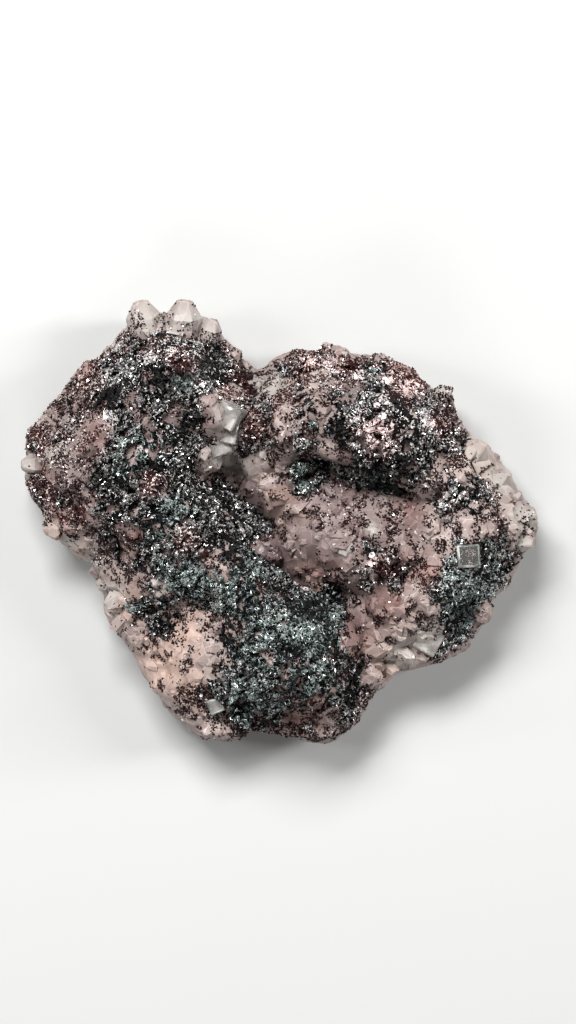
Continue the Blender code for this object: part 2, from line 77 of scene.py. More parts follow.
# Frosted zones, each x, y and radius, where more platelets are painted as glints, partly whitish grains
FROST_AND_PAINTED_GLINTS = (
    (-14.0, 21.0, 6.0), (-20.0, 17.0, 4.5), (-8.0, 18.5, 4.0), (-14.0, 7.5, 3.5), (12.0, 10.7, 3.4),
    (16.0, 14.0, 4.5), (20.0, 12.0, 4.0), (-12.0, -1.5, 2.5), (6.5, 20.5, 3.0), (-15.0, 12.5, 3.5),
    (24.0, 2.5, 3.0), (-27.0, 9.0, 5.0), (18.0, 2.0, 3.5), (24.0, -9.0, 6.5), (8.0, 18.5, 3.5),
    (11.5, 14.8, 4.5), (16.0, 10.0, 4.0), (13.0, 18.5, 4.0), (-24.0, 18.0, 3.5),
)
STAINED = (
    (-23.0, 10.5, 2.5), (-26.0, 1.0, 3.5), (-17.5, -2.8, 3.0), (2.5, 19.5, 4.0), (16.0, 18.5, 4.5),
    (5.8, -22.5, 2.0), (2.5, -25.5, 4.0), (-24.5, 19.5, 2.0), (-30.5, 5.0, 3.0), (19.0, -6.0, 3.0),
    (-3.5, 13.0, 2.5), (16.5, 1.5, 3.0), (10.0, -15.0, 5.5), (4.5, -6.5, 4.0), (-22.5, 4.0, 3.5),
    (13.5, -10.5, 4.5), (-23.5, 11.5, 2.0), (-19.0, -2.5, 3.0), (-30.5, 7.3, 1.8), (16.0, -5.5, 3.0),
)
# Painted sparkle, each x, y and radius: most platelets there are painted as glints, and large plates
# painted as glints stand there
PAINTED_SPARKLE = (
    (12.2, 10.9, 2.8), (15.0, 9.8, 1.6), (9.5, 12.6, 1.4), (6.5, 20.5, 1.8), (16.5, 17.2, 2.0),
    (-16.5, 20.8, 1.4), (-13.8, 21.8, 1.2), (-21.8, 13.0, 1.3), (-12.2, -1.4, 1.6), (-16.0, 5.2, 1.6),
    (11.4, -5.6, 1.3), (21.5, 2.5, 1.4), (-10.0, 16.6, 1.1), (3.5, 20.8, 1.4), (18.6, 13.2, 1.4),
    (10.5, 19.0, 1.4), (13.8, 18.6, 1.2), (13.0, 15.4, 1.2), (16.8, 12.6, 1.2), (-22.5, 18.4, 1.2),
)
WHITENED = (
    (-17.3, 26.0, 4.0), (-12.0, 26.5, 4.0), (-9.0, 24.5, 2.6), (-33.0, 7.5, 2.6), (25.5, 8.8, 3.6),
    (28.5, 5.0, 3.4), (32.0, 0.5, 3.4), (31.5, -3.0, 2.2), (15.5, -17.0, 3.6), (-3.5, 17.5, 2.6),
    (-22.0, -9.5, 2.4), (20.5, 16.5, 1.6), (19.0, -14.5, 2.4), (-14.0, 24.4, 3.0), (-21.0, 22.5, 2.0),
    (-5.2, 7.4, 2.0), (-24.0, 18.0, 2.0), (-0.5, 17.5, 3.4), (-6.3, 13.6, 2.2), (-5.0, 11.2, 1.6),
    (-2.8, 15.6, 3.0), (4.5, 18.8, 2.4), (-26.8, 13.0, 1.8), (-29.0, 9.0, 2.2), (11.6, -0.8, 1.4),
    (8.6, -3.2, 1.0), (-2.6, 8.9, 1.0), (30.0, 7.0, 2.0), (-27.6, -2.4, 2.6), (-24.5, -5.0, 1.8),
    (-15.3, -8.3, 1.5), (-8.0, 9.6, 2.8), (-6.0, 7.6, 2.0),
)
TANNED = (
    (-15.0, -18.5, 5.5), (-12.0, -14.5, 4.0), (-19.0, -10.5, 3.0), (-12.0, -21.0, 4.0),
    (15.0, -18.0, 4.0), (25.0, 8.8, 3.6), (1.0, 2.0, 3.5), (-28.0, -3.0, 4.0),
)
# Painted shade under the ledges, and darker patches of platelets, each x, y and radius: platelets there are
# darker and have fewer painted glints
PAINTED_SHADE_AND_SOOT = (
    (12.8, 6.0, 2.6), (9.0, 7.6, 1.8), (15.6, 6.6, 2.0), (-3.9, 18.3, 2.4), (-11.0, 12.6, 2.4),
    (-7.0, 13.5, 2.0), (-1.5, 1.5, 2.2), (1.5, -2.5, 2.0), (-17.0, -0.5, 1.8), (10.0, -12.0, 2.0),
    (-2.0, 20.5, 1.6), (-23.5, 6.0, 1.8), (9.5, -18.0, 2.0), (-15.0, 18.0, 4.0), (-9.0, 20.0, 2.5),
    (-21.5, 15.5, 2.5), (-12.5, 20.5, 1.5), (7.0, 11.0, 2.2), (12.5, 14.8, 1.6), (2.0, -20.5, 2.2),
    (23.6, -11.2, 4.2),
)
# Painted shade on the quartz in its hollows and recesses, with a duskier tint on some western quartz: x, y,
# radius and share
PAINTED_SHADE_AND_TINT = (
    (-7.5, 5.6, 2.6, 0.25), (-4.5, 3.0, 2.8, 0.85), (-2.2, -1.0, 2.4, 0.92), (-1.0, -4.6, 2.4, 0.90),
    (0.8, -8.4, 2.2, 0.75), (12.0, 4.5, 2.5, 0.65), (4.0, 4.0, 5.0, 0.60), (9.5, 1.5, 5.0, 0.55),
    (5.0, -3.0, 4.5, 0.52), (14.0, -2.0, 4.5, 0.44), (0.0, 9.5, 3.0, 0.20), (8.0, 6.2, 3.0, 0.66),
    (1.0, 1.0, 3.0, 0.64), (10.5, -9.5, 4.0, 0.38), (9.5, -13.5, 2.2, 0.50), (-25.0, 6.0, 7.0, 0.50),
    (-26.0, 14.5, 3.5, 0.36), (-19.0, -2.6, 3.0, 0.42), (-15.0, 13.5, 6.0, 0.72),
    (-14.5, 20.5, 4.0, 0.45), (8.5, 16.5, 3.0, 0.50), (5.0, 13.0, 3.0, 0.40),
)
# How much of the quartz loose platelets cover: x, y, radius and share
PEPPERED = (
    (-27.0, 9.5, 4.5, 0.44), (-28.5, 4.0, 4.0, 0.42), (-25.5, 15.0, 4.5, 0.52), (-26.8, 1.2, 2.6, 0.55),
    (-24.0, -2.0, 1.5, 0.30), (-31.0, 10.8, 2.5, 0.60), (-31.3, 5.0, 1.8, 0.60),
    (-24.0, 8.0, 1.6, 0.70), (-22.8, -4.5, 1.2, 0.70), (-20.5, -6.5, 1.4, 0.60),
    (-19.5, -2.2, 0.8, 0.70), (-18.6, -3.4, 0.7, 0.60), (-14.5, 23.4, 3.4, 0.66),
    (-19.0, 22.6, 2.6, 0.62), (-9.4, 22.8, 2.2, 0.62), (-15.5, 19.0, 4.5, 0.38),
    (-22.5, 20.5, 2.0, 0.55), (-24.5, 18.0, 2.0, 0.45), (-6.5, 16.6, 1.0, 0.50),
    (-12.8, 14.5, 1.0, 0.35), (0.4, 15.8, 1.1, 0.80), (-1.3, 14.7, 0.9, 0.80), (-3.8, 13.3, 1.1, 0.85),
    (-3.2, 11.6, 1.4, 0.70), (-4.6, 12.3, 0.8, 0.60), (-1.7, 10.1, 0.8, 0.75), (1.4, 10.5, 0.8, 0.85),
    (0.6, 9.4, 0.8, 0.60), (-0.8, 8.5, 0.9, 0.75), (-4.6, 9.3, 1.0, 0.75), (-1.5, 18.0, 1.1, 0.40),
    (1.1, 13.6, 0.9, 0.65), (2.4, 14.0, 1.2, 0.75), (3.2, 11.6, 1.4, 0.70), (3.0, 17.8, 0.8, 0.45),
    (0.4, 11.7, 0.6, 0.60), (3.0, 9.2, 1.0, 0.75), (-0.3, 6.3, 0.5, 0.70), (-4.0, 4.1, 0.4, 0.85),
    (4.5, 4.7, 0.4, 0.80), (7.2, 5.5, 0.5, 0.75), (3.8, 3.2, 0.5, 0.60), (6.2, 3.1, 1.0, 0.80),
    (4.1, 1.5, 0.9, 0.75), (8.0, 2.2, 0.5, 0.80), (10.2, 2.5, 0.9, 0.80), (8.8, 0.6, 0.8, 0.80),
    (10.4, 0.1, 1.0, 0.80), (8.1, -0.2, 0.4, 0.85), (9.1, -1.3, 0.5, 0.80), (-0.6, 3.3, 0.5, 0.60),
    (1.2, 1.2, 0.4, 0.60), (0.3, -1.3, 0.7, 0.70), (5.6, 0.0, 0.9, 0.65), (6.0, -1.8, 0.4, 0.75),
    (4.8, -3.6, 0.5, 0.75), (14.6, 1.1, 1.3, 0.75), (14.2, -0.9, 0.9, 0.85), (12.3, 1.0, 0.4, 0.70),
    (12.1, -2.4, 1.1, 0.55), (15.3, -3.8, 0.7, 0.70), (17.2, -2.6, 1.1, 0.65), (17.9, -4.9, 1.1, 0.75),
    (18.1, -6.8, 1.2, 0.85), (18.0, -8.5, 0.6, 0.90), (20.3, -3.0, 1.0, 0.70), (19.0, 0.0, 0.6, 0.90),
    (15.6, 1.6, 0.8, 0.60), (16.8, -10.9, 0.8, 0.70), (12.5, -12.4, 0.7, 0.90),
    (17.9, -12.4, 0.8, 0.85), (19.0, -13.5, 0.5, 0.70), (14.3, -15.2, 0.5, 0.85),
    (16.8, -14.5, 0.4, 0.60), (15.0, -12.7, 0.4, 0.60), (11.0, -11.6, 0.4, 0.85),
    (9.9, -10.0, 0.6, 0.55), (8.1, -10.4, 0.6, 0.70), (10.2, -13.9, 0.5, 0.85), (7.5, -7.6, 0.8, 0.70),
    (9.6, -4.9, 0.5, 0.70), (7.6, -6.0, 0.3, 0.90), (3.0, -6.8, 0.9, 0.85), (6.2, -6.6, 0.5, 0.50),
    (21.8, 7.6, 0.9, 0.80), (23.4, 7.3, 1.0, 0.65), (26.4, 7.1, 0.7, 0.70), (28.2, 6.2, 0.5, 0.45),
    (24.5, 6.2, 0.8, 0.50), (25.0, 4.6, 0.9, 0.90), (27.0, 4.3, 0.7, 0.90), (18.6, 7.0, 1.6, 0.65),
    (19.6, 5.0, 1.5, 0.55), (24.0, 3.2, 1.1, 0.60), (27.4, 1.3, 1.0, 0.75), (25.4, 0.4, 0.9, 0.55),
    (28.3, -0.3, 0.8, 0.80), (28.3, -1.8, 0.8, 0.90), (25.0, -0.8, 0.9, 0.55), (22.3, -0.7, 0.7, 0.80),
    (21.0, 1.5, 0.9, 0.55), (31.8, 0.3, 0.5, 0.80), (32.3, -1.0, 0.6, 0.70), (31.8, -4.0, 0.6, 0.80),
    (29.9, -4.3, 0.8, 0.90), (30.7, 2.7, 0.5, 0.80), (29.2, 1.5, 0.4, 0.50), (20.6, -6.8, 0.9, 0.80),
    (24.5, -4.1, 1.8, 0.95), (-9.0, -13.4, 1.5, 0.55), (-13.1, -14.8, 0.9, 0.55),
    (-12.0, -18.4, 0.9, 0.75), (-17.7, -16.3, 0.5, 0.85), (-15.6, -17.5, 0.8, 0.40),
    (-11.6, -16.2, 0.6, 0.55), (-15.3, -20.8, 0.8, 0.50), (-11.8, -22.3, 1.5, 0.85),
    (-12.4, -24.2, 1.2, 0.65), (-20.0, -13.6, 0.5, 0.80), (-8.8, -17.3, 0.6, 0.35),
    (-9.2, -22.0, 1.2, 0.75), (-15.6, 24.8, 1.5, 0.90), (-18.0, 24.6, 1.3, 0.80),
    (3.2, 21.4, 1.7, 0.85), (5.6, 21.9, 1.3, 0.85), (11.5, 21.8, 1.6, 0.80), (14.5, 21.0, 1.7, 0.80),
    (17.2, 19.9, 1.6, 0.75), (19.4, 18.2, 1.6, 0.72), (21.2, 16.2, 1.4, 0.65), (22.3, 13.8, 1.3, 0.60),
    (-8.5, -24.8, 2.0, 0.62), (-5.5, -26.2, 2.0, 0.75), (-2.0, -27.0, 1.8, 0.80),
    (1.5, -27.3, 1.5, 0.60), (5.0, -26.9, 1.5, 0.50), (8.5, -25.4, 1.6, 0.62), (11.0, -23.0, 1.5, 0.60),
    (-32.0, 2.0, 1.6, 0.50),
)
# How much of a crust is open down to the quartz: x, y, radius and share
OPENED = (
    (-27.5, 9.0, 5.5, 0.44), (-28.5, 3.5, 4.0, 0.38), (-26.0, 15.5, 4.0, 0.36), (-26.0, 0.5, 3.0, 0.26),
    (-14.0, 24.4, 3.2, 0.40), (-19.5, 22.4, 2.6, 0.34), (-10.0, 23.6, 2.4, 0.34),
    (-23.0, 17.0, 2.2, 0.26), (2.6, 13.0, 3.4, 0.45), (6.5, 15.4, 2.4, 0.24), (3.0, 10.2, 2.4, 0.45),
    (19.5, 9.0, 4.0, 0.30), (18.0, 5.5, 3.0, 0.40), (21.0, 12.5, 3.0, 0.15), (4.2, 18.2, 2.0, 0.40),
    (21.0, 4.0, 2.5, 0.40), (24.0, 1.8, 2.5, 0.48), (26.5, 2.0, 2.0, 0.42), (13.5, -6.0, 3.0, 0.32),
    (-3.0, 12.5, 2.5, 0.45), (-19.5, -5.0, 3.0, 0.32), (-14.0, -11.5, 2.5, 0.38),
    (3.5, -25.0, 5.0, 0.40), (-9.5, -24.0, 3.0, 0.35), (9.0, -23.5, 3.0, 0.25),
    (-10.2, 11.5, 1.6, 0.25),
)
# The large crystals, each x, y and radius, which stay clean of smaller ones
LARGE_CRYSTALS = (
    (-17.5, 26.0, 2.8), (-12.5, 26.0, 3.0), (-9.2, 24.5, 2.0), (-32.5, 7.4, 2.0), (25.6, 9.4, 2.4),
    (29.2, 5.8, 2.0), (31.8, 1.2, 2.0), (32.0, -2.6, 1.8), (-21.5, -10.6, 2.0), (14.8, -19.0, 2.0),
    (26.5, 8.3, 3.0), (29.5, 4.8, 2.6),
)

# Zones painted on every surface: the zones, how soft their edges are, and their full share
PAINTED = {
    "ruddy": (RUDDY, 0.9, 1.0),
    "teal": (TEAL, 0.6, 1.0),
    "stained": (STAINED, 1.0, 0.75),
    "painted_sparkle": (PAINTED_SPARKLE, 0.5, 1.0),
    "sooty": (PAINTED_SHADE_AND_SOOT, 0.8, 1.0),
    "whitened": (WHITENED, 0.9, 0.85),
    "tanned": (TANNED, 0.9, 0.9),
}
# How the frosted zones and patches spread, where more platelets are painted as glints, partly whitish
# grains
FROST_SOFTNESS = 0.8
FROST_PATCH = 2.4 * MM
FROST_EVERYWHERE = 0.05
FROST_IN_ZONES = 0.75
FROST_IN_PATCHES = 0.5
RAGGED_SCALE = 0.9 / MM
RAGGED_DEPTH = 0.45

# Loose platelets on the quartz, with distances from a crust in millimetres
PEPPER_EVERYWHERE = 0.025
PEPPER_PATCH = 0.9 * MM
PEPPER_EDGE = 0.08
PEPPER_THINNED = 0.88
PEPPER_RIM_FROM = 0.15
PEPPER_RIM = 0.8
PEPPER_RIM_SHARE = 0.5
PEPPER_RIM_STEEP = 0.1
PEPPER_RIM_POWER = 1.3
PEPPER_OFF_LARGE = 0.75
PEPPER_SINGLE = (0.004, 0.03)

# Openings in the crusts
OPEN_EVERYWHERE = 0.02
OPEN_PATCH = 1.3 * MM
OPEN_NOISE_SHIFT = 0.05
OPEN_EDGE = 0.10
OPEN_BORDER = 1.2 * MM
OPEN_AT_BORDER = 0.6
OPEN_DEPTH = 3.3 * MM
OPEN_ENOUGH = 0.35
WINDOW_RAGGED = 1.3
WINDOW_SOFTNESS = 0.3

# Heights above the back in millimetres: where something starts or ends, and over what stretch
CRYSTALS_FROM = (0.5, 2.0)
BROKEN_FROM = (0.3, 1.0)
BROKEN_TO = (9.0, 3.0)
CLEAN_FROM = (5.0, 3.0)
COVER_FROM = (4.0, 3.0)

# Relief of the quartz: low six-sided crystals side by side
QUARTZ_GRID = 0.36 * MM
QUARTZ_SMOOTHING = 18
QUARTZ_BEVEL = 0.12 * MM
CRYSTAL_SPACING = 3.3 * MM
CRYSTAL_RISE = (0.0, 0.35 * MM)
CRYSTAL_SLOPE = (0.15, 0.4)
CRYSTAL_BLUNT = (0.2 * MM, 1.2 * MM)
CRYSTAL_LEAN = 0.16
CRYSTAL_LIMITS = (-0.6 * MM, 0.6 * MM)
NEIGHBOURS = 8
CLEAN_DEPTH = 1.3 * MM
CLEAN_SOFTNESS = 0.2
PIT = (-7.5, 7.1, 3.4)
PIT_FILLING = 2.8 * MM
BREAK_SIZE = 3.2 * MM
BREAK_DEPTH = 0.8 * MM

# Small quartz points: sides, width, stretch, height of the tip, lean and bluntness
QUARTZ_POINTS = {
    "quartz_point_a": (6, 2.6 * MM, 1.25, 0.40 * MM, 0.12, 0.50),
    "quartz_point_b": (5, 2.4 * MM, 1.50, 0.45 * MM, 0.20, 0.35),
    "quartz_point_c": (6, 2.2 * MM, 1.00, 0.65 * MM, 0.15, 0.25),
    "quartz_point_d": (5, 3.0 * MM, 1.30, 0.40 * MM, 0.25, 0.45),
    "quartz_point_e": (6, 1.7 * MM, 1.40, 0.80 * MM, 0.10, 0.20),
}
POINT_FOOT = 0.7 * MM
POINTS_FROM_CRUST = (0.35, 0.4)

# Relief of the crusts: knots on lumps
CRUST_GRID = 0.29 * MM
HILL_SIZE = 4.5 * MM
HILL_DEPTH = 0.5 * MM
LUMP_SIZE = 2.2 * MM
LUMP_DEPTH = 0.7 * MM
KNOT_SIZE = 0.95 * MM
KNOT_DEPTH = 0.45 * MM
CRUST_RISE = 0.45 * MM
CELL = 0.25 * MM

# Finishes of the platelets: roughness, metallic, how brown, and the tones where steel and painted glints
# begin
PLATELET_FINISHES = {
    "satin": (0.32, 0.45, 0.0, 0.15, 0.96),
    "pale": (0.40, 0.0, 0.0, -0.35, 0.74),
    "mirror": (0.20, 0.35, 0.0, 0.95, 0.88),
    "bright": (0.25, 0.30, 0.35, 0.45, 0.35),
    "sooty": (0.28, 0.25, 0.40, 1.30, 0.97),
}
# Platelets: length, width, thickness, sides and finish
PLATELETS = {
    "blade": (0.58 * MM, 0.29 * MM, 0.08 * MM, 3, "satin"),
    "pale_blade": (0.70 * MM, 0.26 * MM, 0.08 * MM, 3, "pale"),
    "flake": (0.50 * MM, 0.38 * MM, 0.08 * MM, 3, "mirror"),
    "glitter": (0.90 * MM, 0.74 * MM, 0.08 * MM, 5, "bright"),
    "speck": (0.52 * MM, 0.40 * MM, 0.12 * MM, 3, "sooty"),
}
# Grains: width, height and finish
GRAINS = {
    "grain": (0.36 * MM, 0.25 * MM, "mirror"),
    "crumb": (0.38 * MM, 0.30 * MM, "sooty"),
}
# What stands on each crust: name, kind, number on a square metre, cover, seed, tilt in degrees and scale
CRUST_GROWTHS = (
    ("blades", "blade", 17.0e6, "blade_cover", 31, (30, 90), (0.6, 1.3)),
    ("flakes", "flake", 10.5e6, "flake_cover", 51, (5, 90), (0.55, 1.25)),
    ("grains", "grain", 18.0e6, "flake_cover", 71, (5, 90), (0.6, 1.3)),
)
PALE_CRUST = "hematite_south_east"

# Frosted rims of the lone cubes: their width, and the area under which a face is all rim
FLUORITE_EDGE = 0.12 * MM
SMALL_FACE = 0.45e-6

CRUSTS = sorted(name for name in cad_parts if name.startswith("hematite_"))
FLUORITES = sorted(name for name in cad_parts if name.startswith("fluorite_"))
CLEAR_CUBE = "fluorite_east_cube"
WELD = 0.001 * MM
RAY_START = 0.02 * MM
COVERED_WITHIN = 3.0 * MM

# Studio lights: place and size in metres, and power in watts
LIGHTS = {
    "key": ((-0.12, 0.28, 0.48), (0.28, 0.15), 7.1),
    "side": ((0.45, 0.10, 0.30), (0.10, 0.30), 3.4),
    "left": ((-0.42, 0.05, 0.34), (0.10, 0.30), 1.4),
    "fill": ((-0.10, -0.45, 0.42), (0.35, 0.20), 1.7),
}


# Node helpers

def fill(tree, inputs, values):
    """Fills inputs with values or links."""
    for name, value in values.items():
        if isinstance(value, bpy.types.NodeSocket):
            tree.links.new(value, inputs[name])
        else:
            inputs[name].default_value = value


def node(tree, kind, inputs=None, **settings):
    """Adds a node, sets its options and fills its inputs."""
    made = tree.nodes.new(kind)
    for name, value in settings.items():
        setattr(made, name, value)
    fill(tree, made.inputs, inputs or {})
    return made


def sums(tree, operation, *terms, clamp=False):
    settings = {"operation": operation, "use_clamp": clamp}
    return node(tree, "ShaderNodeMath", dict(enumerate(terms)), **settings).outputs[0]


def vector_sums(tree, operation, *terms):
    return node(tree, "ShaderNodeVectorMath", dict(enumerate(terms)), operation=operation).outputs[0]


def scaled(tree, vector, factor):
    return node(tree, "ShaderNodeVectorMath", {0: vector, "Scale": factor}, operation="SCALE").outputs[0]


def opaque(colour):
    """A colour of three numbers with its alpha, or a link as it is."""
    return (*colour, 1.0) if isinstance(colour, tuple) else colour


def blend(tree, share, low, high):
    """A colour between low and high."""
    return node(
        tree, "ShaderNodeMix", {0: share, 6: opaque(low), 7: opaque(high)}, data_type="RGBA"
    ).outputs[2]


def rise(tree, value, low, high):
    """A share that goes from 0 to 1 as the value goes from low to high."""
    return node(
        tree, "ShaderNodeMapRange", {"Value": value, "From Min": low, "From Max": high},
        interpolation_type="SMOOTHSTEP",
    ).outputs["Result"]


def first_channel(tree, colour):
    return node(tree, "ShaderNodeSeparateColor", {0: colour}).outputs[0]


def attribute(tree, name):
    return node(tree, "ShaderNodeAttribute", attribute_name=name).outputs["Fac"]


def group_node(tree, group, inputs):
    return node(tree, "ShaderNodeGroup", inputs, node_tree=group)


def noise_texture(tree, place, scale, detail):
    return node(
        tree, "ShaderNodeTexNoise", {"Vector": place, "Scale": scale, "Detail": detail}
    ).outputs["Fac"]


def cell_texture(tree, place, scale, output, **settings):
    return node(tree, "ShaderNodeTexVoronoi", {"Vector": place, "Scale": scale}, **settings).outputs[output]


def new_group(name, inputs, outputs):
    tree = bpy.data.node_groups.new(name, "ShaderNodeTree")
    for socket, value in inputs.items():
        kind = "NodeSocketColor" if isinstance(value, tuple) else "NodeSocketFloat"
        tree.interface.new_socket(socket, in_out="INPUT", socket_type=kind).default_value = value
    for socket, kind in outputs.items():
        tree.interface.new_socket(socket, in_out="OUTPUT", socket_type=kind)
    return tree, tree.nodes.new("NodeGroupInput").outputs, tree.nodes.new("NodeGroupOutput").inputs


def new_material(name):
    material = bpy.data.materials.new(name)
    material.use_nodes = True
    tree = material.node_tree
    return material, tree, tree.nodes["Principled BSDF"].inputs


def object_place(tree):
    return tree.nodes.new("ShaderNodeTexCoord").outputs["Object"]


# Effects that several materials share

def mottle_group():
    """A tint that wanders between two colours in soft clouds, with finer flecks over them."""
    tree, given, result = new_group(
        "mottle",
        {
            "Low": (0.1, 0.1, 0.1, 1.0), "High": (0.8, 0.8, 0.8, 1.0), "Scale": 400.0,
            "Fleck Scale": 2500.0, "Flecks": 0.2,
        },
        {"Color": "NodeSocketColor", "Mask": "NodeSocketFloat"},
    )
    place = object_place(tree)
    soft = rise(tree, noise_texture(tree, place, given["Scale"], 4.0), 0.36, 0.64)
    off = sums(tree, "SUBTRACT", noise_texture(tree, place, given["Fleck Scale"], 2.0), 0.5)
    mask = sums(tree, "MULTIPLY_ADD", off, given["Flecks"], soft, clamp=True)
    fill(tree, result, {"Color": blend(tree, mask, given["Low"], given["High"]), "Mask": mask})
    return tree


def growth_group():
    """Height of tiny growth steps and pits, for a Bump node."""
    tree, given, result = new_group(
        "growth_steps", {"Step Scale": 900.0, "Pit Scale": 3500.0, "Pits": 0.3},
        {"Height": "NodeSocketFloat"},
    )
    place = object_place(tree)
    steps = cell_texture(tree, place, given["Step Scale"], "Distance", distance="CHEBYCHEV")
    pits = noise_texture(tree, place, given["Pit Scale"], 3.0)
    fill(tree, result, {"Height": sums(tree, "MULTIPLY_ADD", pits, given["Pits"], steps)})
    return tree


def facets_group():
    """Small flat crystal faces side by side.

    It puts out a tilted normal and a tone for each face, and a mask of the edges between them.
    """
    tree, given, result = new_group(
        "facets", {"Scale": 500.0, "Tilt": 0.3},
        {"Normal": "NodeSocketVector", "Tone": "NodeSocketFloat", "Edge": "NodeSocketFloat"},
    )
    place = object_place(tree)
    finer = sums(tree, "MULTIPLY", given["Scale"], 2.3)
    large = cell_texture(tree, place, given["Scale"], "Color")
    small = cell_texture(tree, place, finer, "Color")
    both = vector_sums(tree, "MULTIPLY_ADD", small, (0.45, 0.45, 0.45), large)
    centred = vector_sums(tree, "SUBTRACT", both, (0.725, 0.725, 0.725))
    upright = tree.nodes.new("ShaderNodeNewGeometry").outputs["Normal"]
    leant = vector_sums(tree, "ADD", upright, scaled(tree, centred, given["Tilt"]))
    rim = cell_texture(tree, place, given["Scale"], "Distance", feature="DISTANCE_TO_EDGE")
    fill(tree, result, {
        "Normal": vector_sums(tree, "NORMALIZE", leant), "Tone": first_channel(tree, large),
        "Edge": rise(tree, rim, 0.05, 0.0),
    })
    return tree


MOTTLE = mottle_group()
GROWTH = growth_group()
FACETS = facets_group()


def mottled(tree, low, high, scale, fleck_scale, flecks):
    """The outputs of a mottle between these two colours."""
    return group_node(tree, MOTTLE, {
        "Low": opaque(low), "High": opaque(high), "Scale": scale, "Fleck Scale": fleck_scale,
        "Flecks": flecks,
    }).outputs


# Materials

def quartz_material():
    """Milky quartz: clouded tan and lilac faces, whiter at its tips, browner where iron stains it, with
    painted shade and painted highlights.
    """
    material, tree, shader = new_material("quartz_milky")
    clouds = mottled(tree, (0.160, 0.112, 0.106), (0.205, 0.165, 0.152), 190.0, 2600.0, 0.7)
    faces = group_node(tree, FACETS, {"Scale": 480.0, "Tilt": 0.33}).outputs
    crystal_tone = sums(tree, "MULTIPLY", attribute(tree, "tone"), 0.35)
    tone = sums(tree, "MULTIPLY_ADD", faces["Tone"], 0.4, crystal_tone)
    # Each face and crystal is lighter by a random tone: partly their own tint, partly painted light on the
    # faces that would catch it
    toned_and_painted_light = blend(tree, tone, clouds["Color"], (0.29, 0.236, 0.218))
    # Lighter along the facet edges: a painted highlight
    tint = blend(tree, sums(tree, "MULTIPLY", faces["Edge"], 0.6), toned_and_painted_light, (0.38, 0.325, 0.305))
    for zone, colour in (
        ("tanned", (0.37, 0.268, 0.225)),
        ("stained", (0.215, 0.120, 0.102)),
        # painted shade in the hollows, with a duskier tint on some western quartz
        ("painted_shade_and_tint", (0.082, 0.055, 0.055)),
        ("whitened", (0.305, 0.288, 0.268)),
    ):
        tint = blend(tree, attribute(tree, zone), tint, colour)
    dull = sums(tree, "MULTIPLY_ADD", attribute(tree, "whitened"), 0.8, clouds["Mask"])
    fill(tree, shader, {
        "Base Color": tint, "Normal": faces["Normal"], "Roughness": rise(tree, dull, -1.2, 2.2),
        "IOR": 1.544, "Specular IOR Level": 0.35, "Transmission Weight": 0.1,
        "Subsurface Weight": 0.2, "Subsurface Radius": (1.0, 0.72, 0.66), "Subsurface Scale": 0.4 * MM,
    })
    return material


def hematite_material(name, roughness, metallic, warm, first_steel, first_painted_glint):
    """Metallic platelets, each with its own tone, from black through steel to a painted highlight colour.

    Warm is how brown they are, and the first steel and first painted highlight tones are where a
    platelet starts to be one or the other. Raised platelets are painted lighter and those in the
    creases darker, as painted light and shade.
    """
    material, tree, shader = new_material(name)
    tone = attribute(tree, "tone")
    teal = attribute(tree, "teal")
    sooty = attribute(tree, "sooty")
    ruddy = sums(tree, "ADD", attribute(tree, "ruddy"), warm, clamp=True)
    black = blend(tree, teal, (0.004, 0.003, 0.003), (0.003, 0.006, 0.0065))
    steel = blend(tree, teal, (0.33, 0.315, 0.31), (0.33, 0.375, 0.36))
    # Raised platelets are painted lighter and those in the creases darker: painted light and shade
    height = sums(tree, "MULTIPLY_ADD", attribute(tree, "raised"), 0.8, tone)
    grey = blend(tree, rise(tree, height, first_steel, 1.6), black, steel)
    # Blacker where shade under the ledges is painted, and in darker patches
    dark = blend(tree, sums(tree, "MULTIPLY", sooty, 0.85), grey, black)
    red = blend(tree, sums(tree, "MULTIPLY", ruddy, 0.7), dark, (0.055, 0.016, 0.014))
    # More platelets are painted as glints in the painted sparkle and frosted zones, fewer on teal and where
    # shade is painted
    more_painted_glints = sums(tree, "MULTIPLY_ADD", attribute(tree, "painted_sparkle"), 1.6, attribute(tree, "frosted"))
    dull = sums(tree, "MULTIPLY_ADD", teal, 0.13, first_painted_glint)
    limit = sums(tree, "MULTIPLY_ADD", sums(tree, "SUBTRACT", more_painted_glints, sooty), -0.28, dull)
    # The painted highlight colour, standing in for light that a platelet reflects; warmer on ruddy
    # platelets
    painted_glint_colour = blend(tree, ruddy, (0.53, 0.52, 0.51), (0.60, 0.465, 0.445))
    bright = sums(tree, "GREATER_THAN", tone, limit)
    fill(tree, shader, {
        "Base Color": blend(tree, bright, red, painted_glint_colour), "Metallic": metallic, "Roughness": roughness,
        "Specular IOR Level": 0.25,
    })
    return material


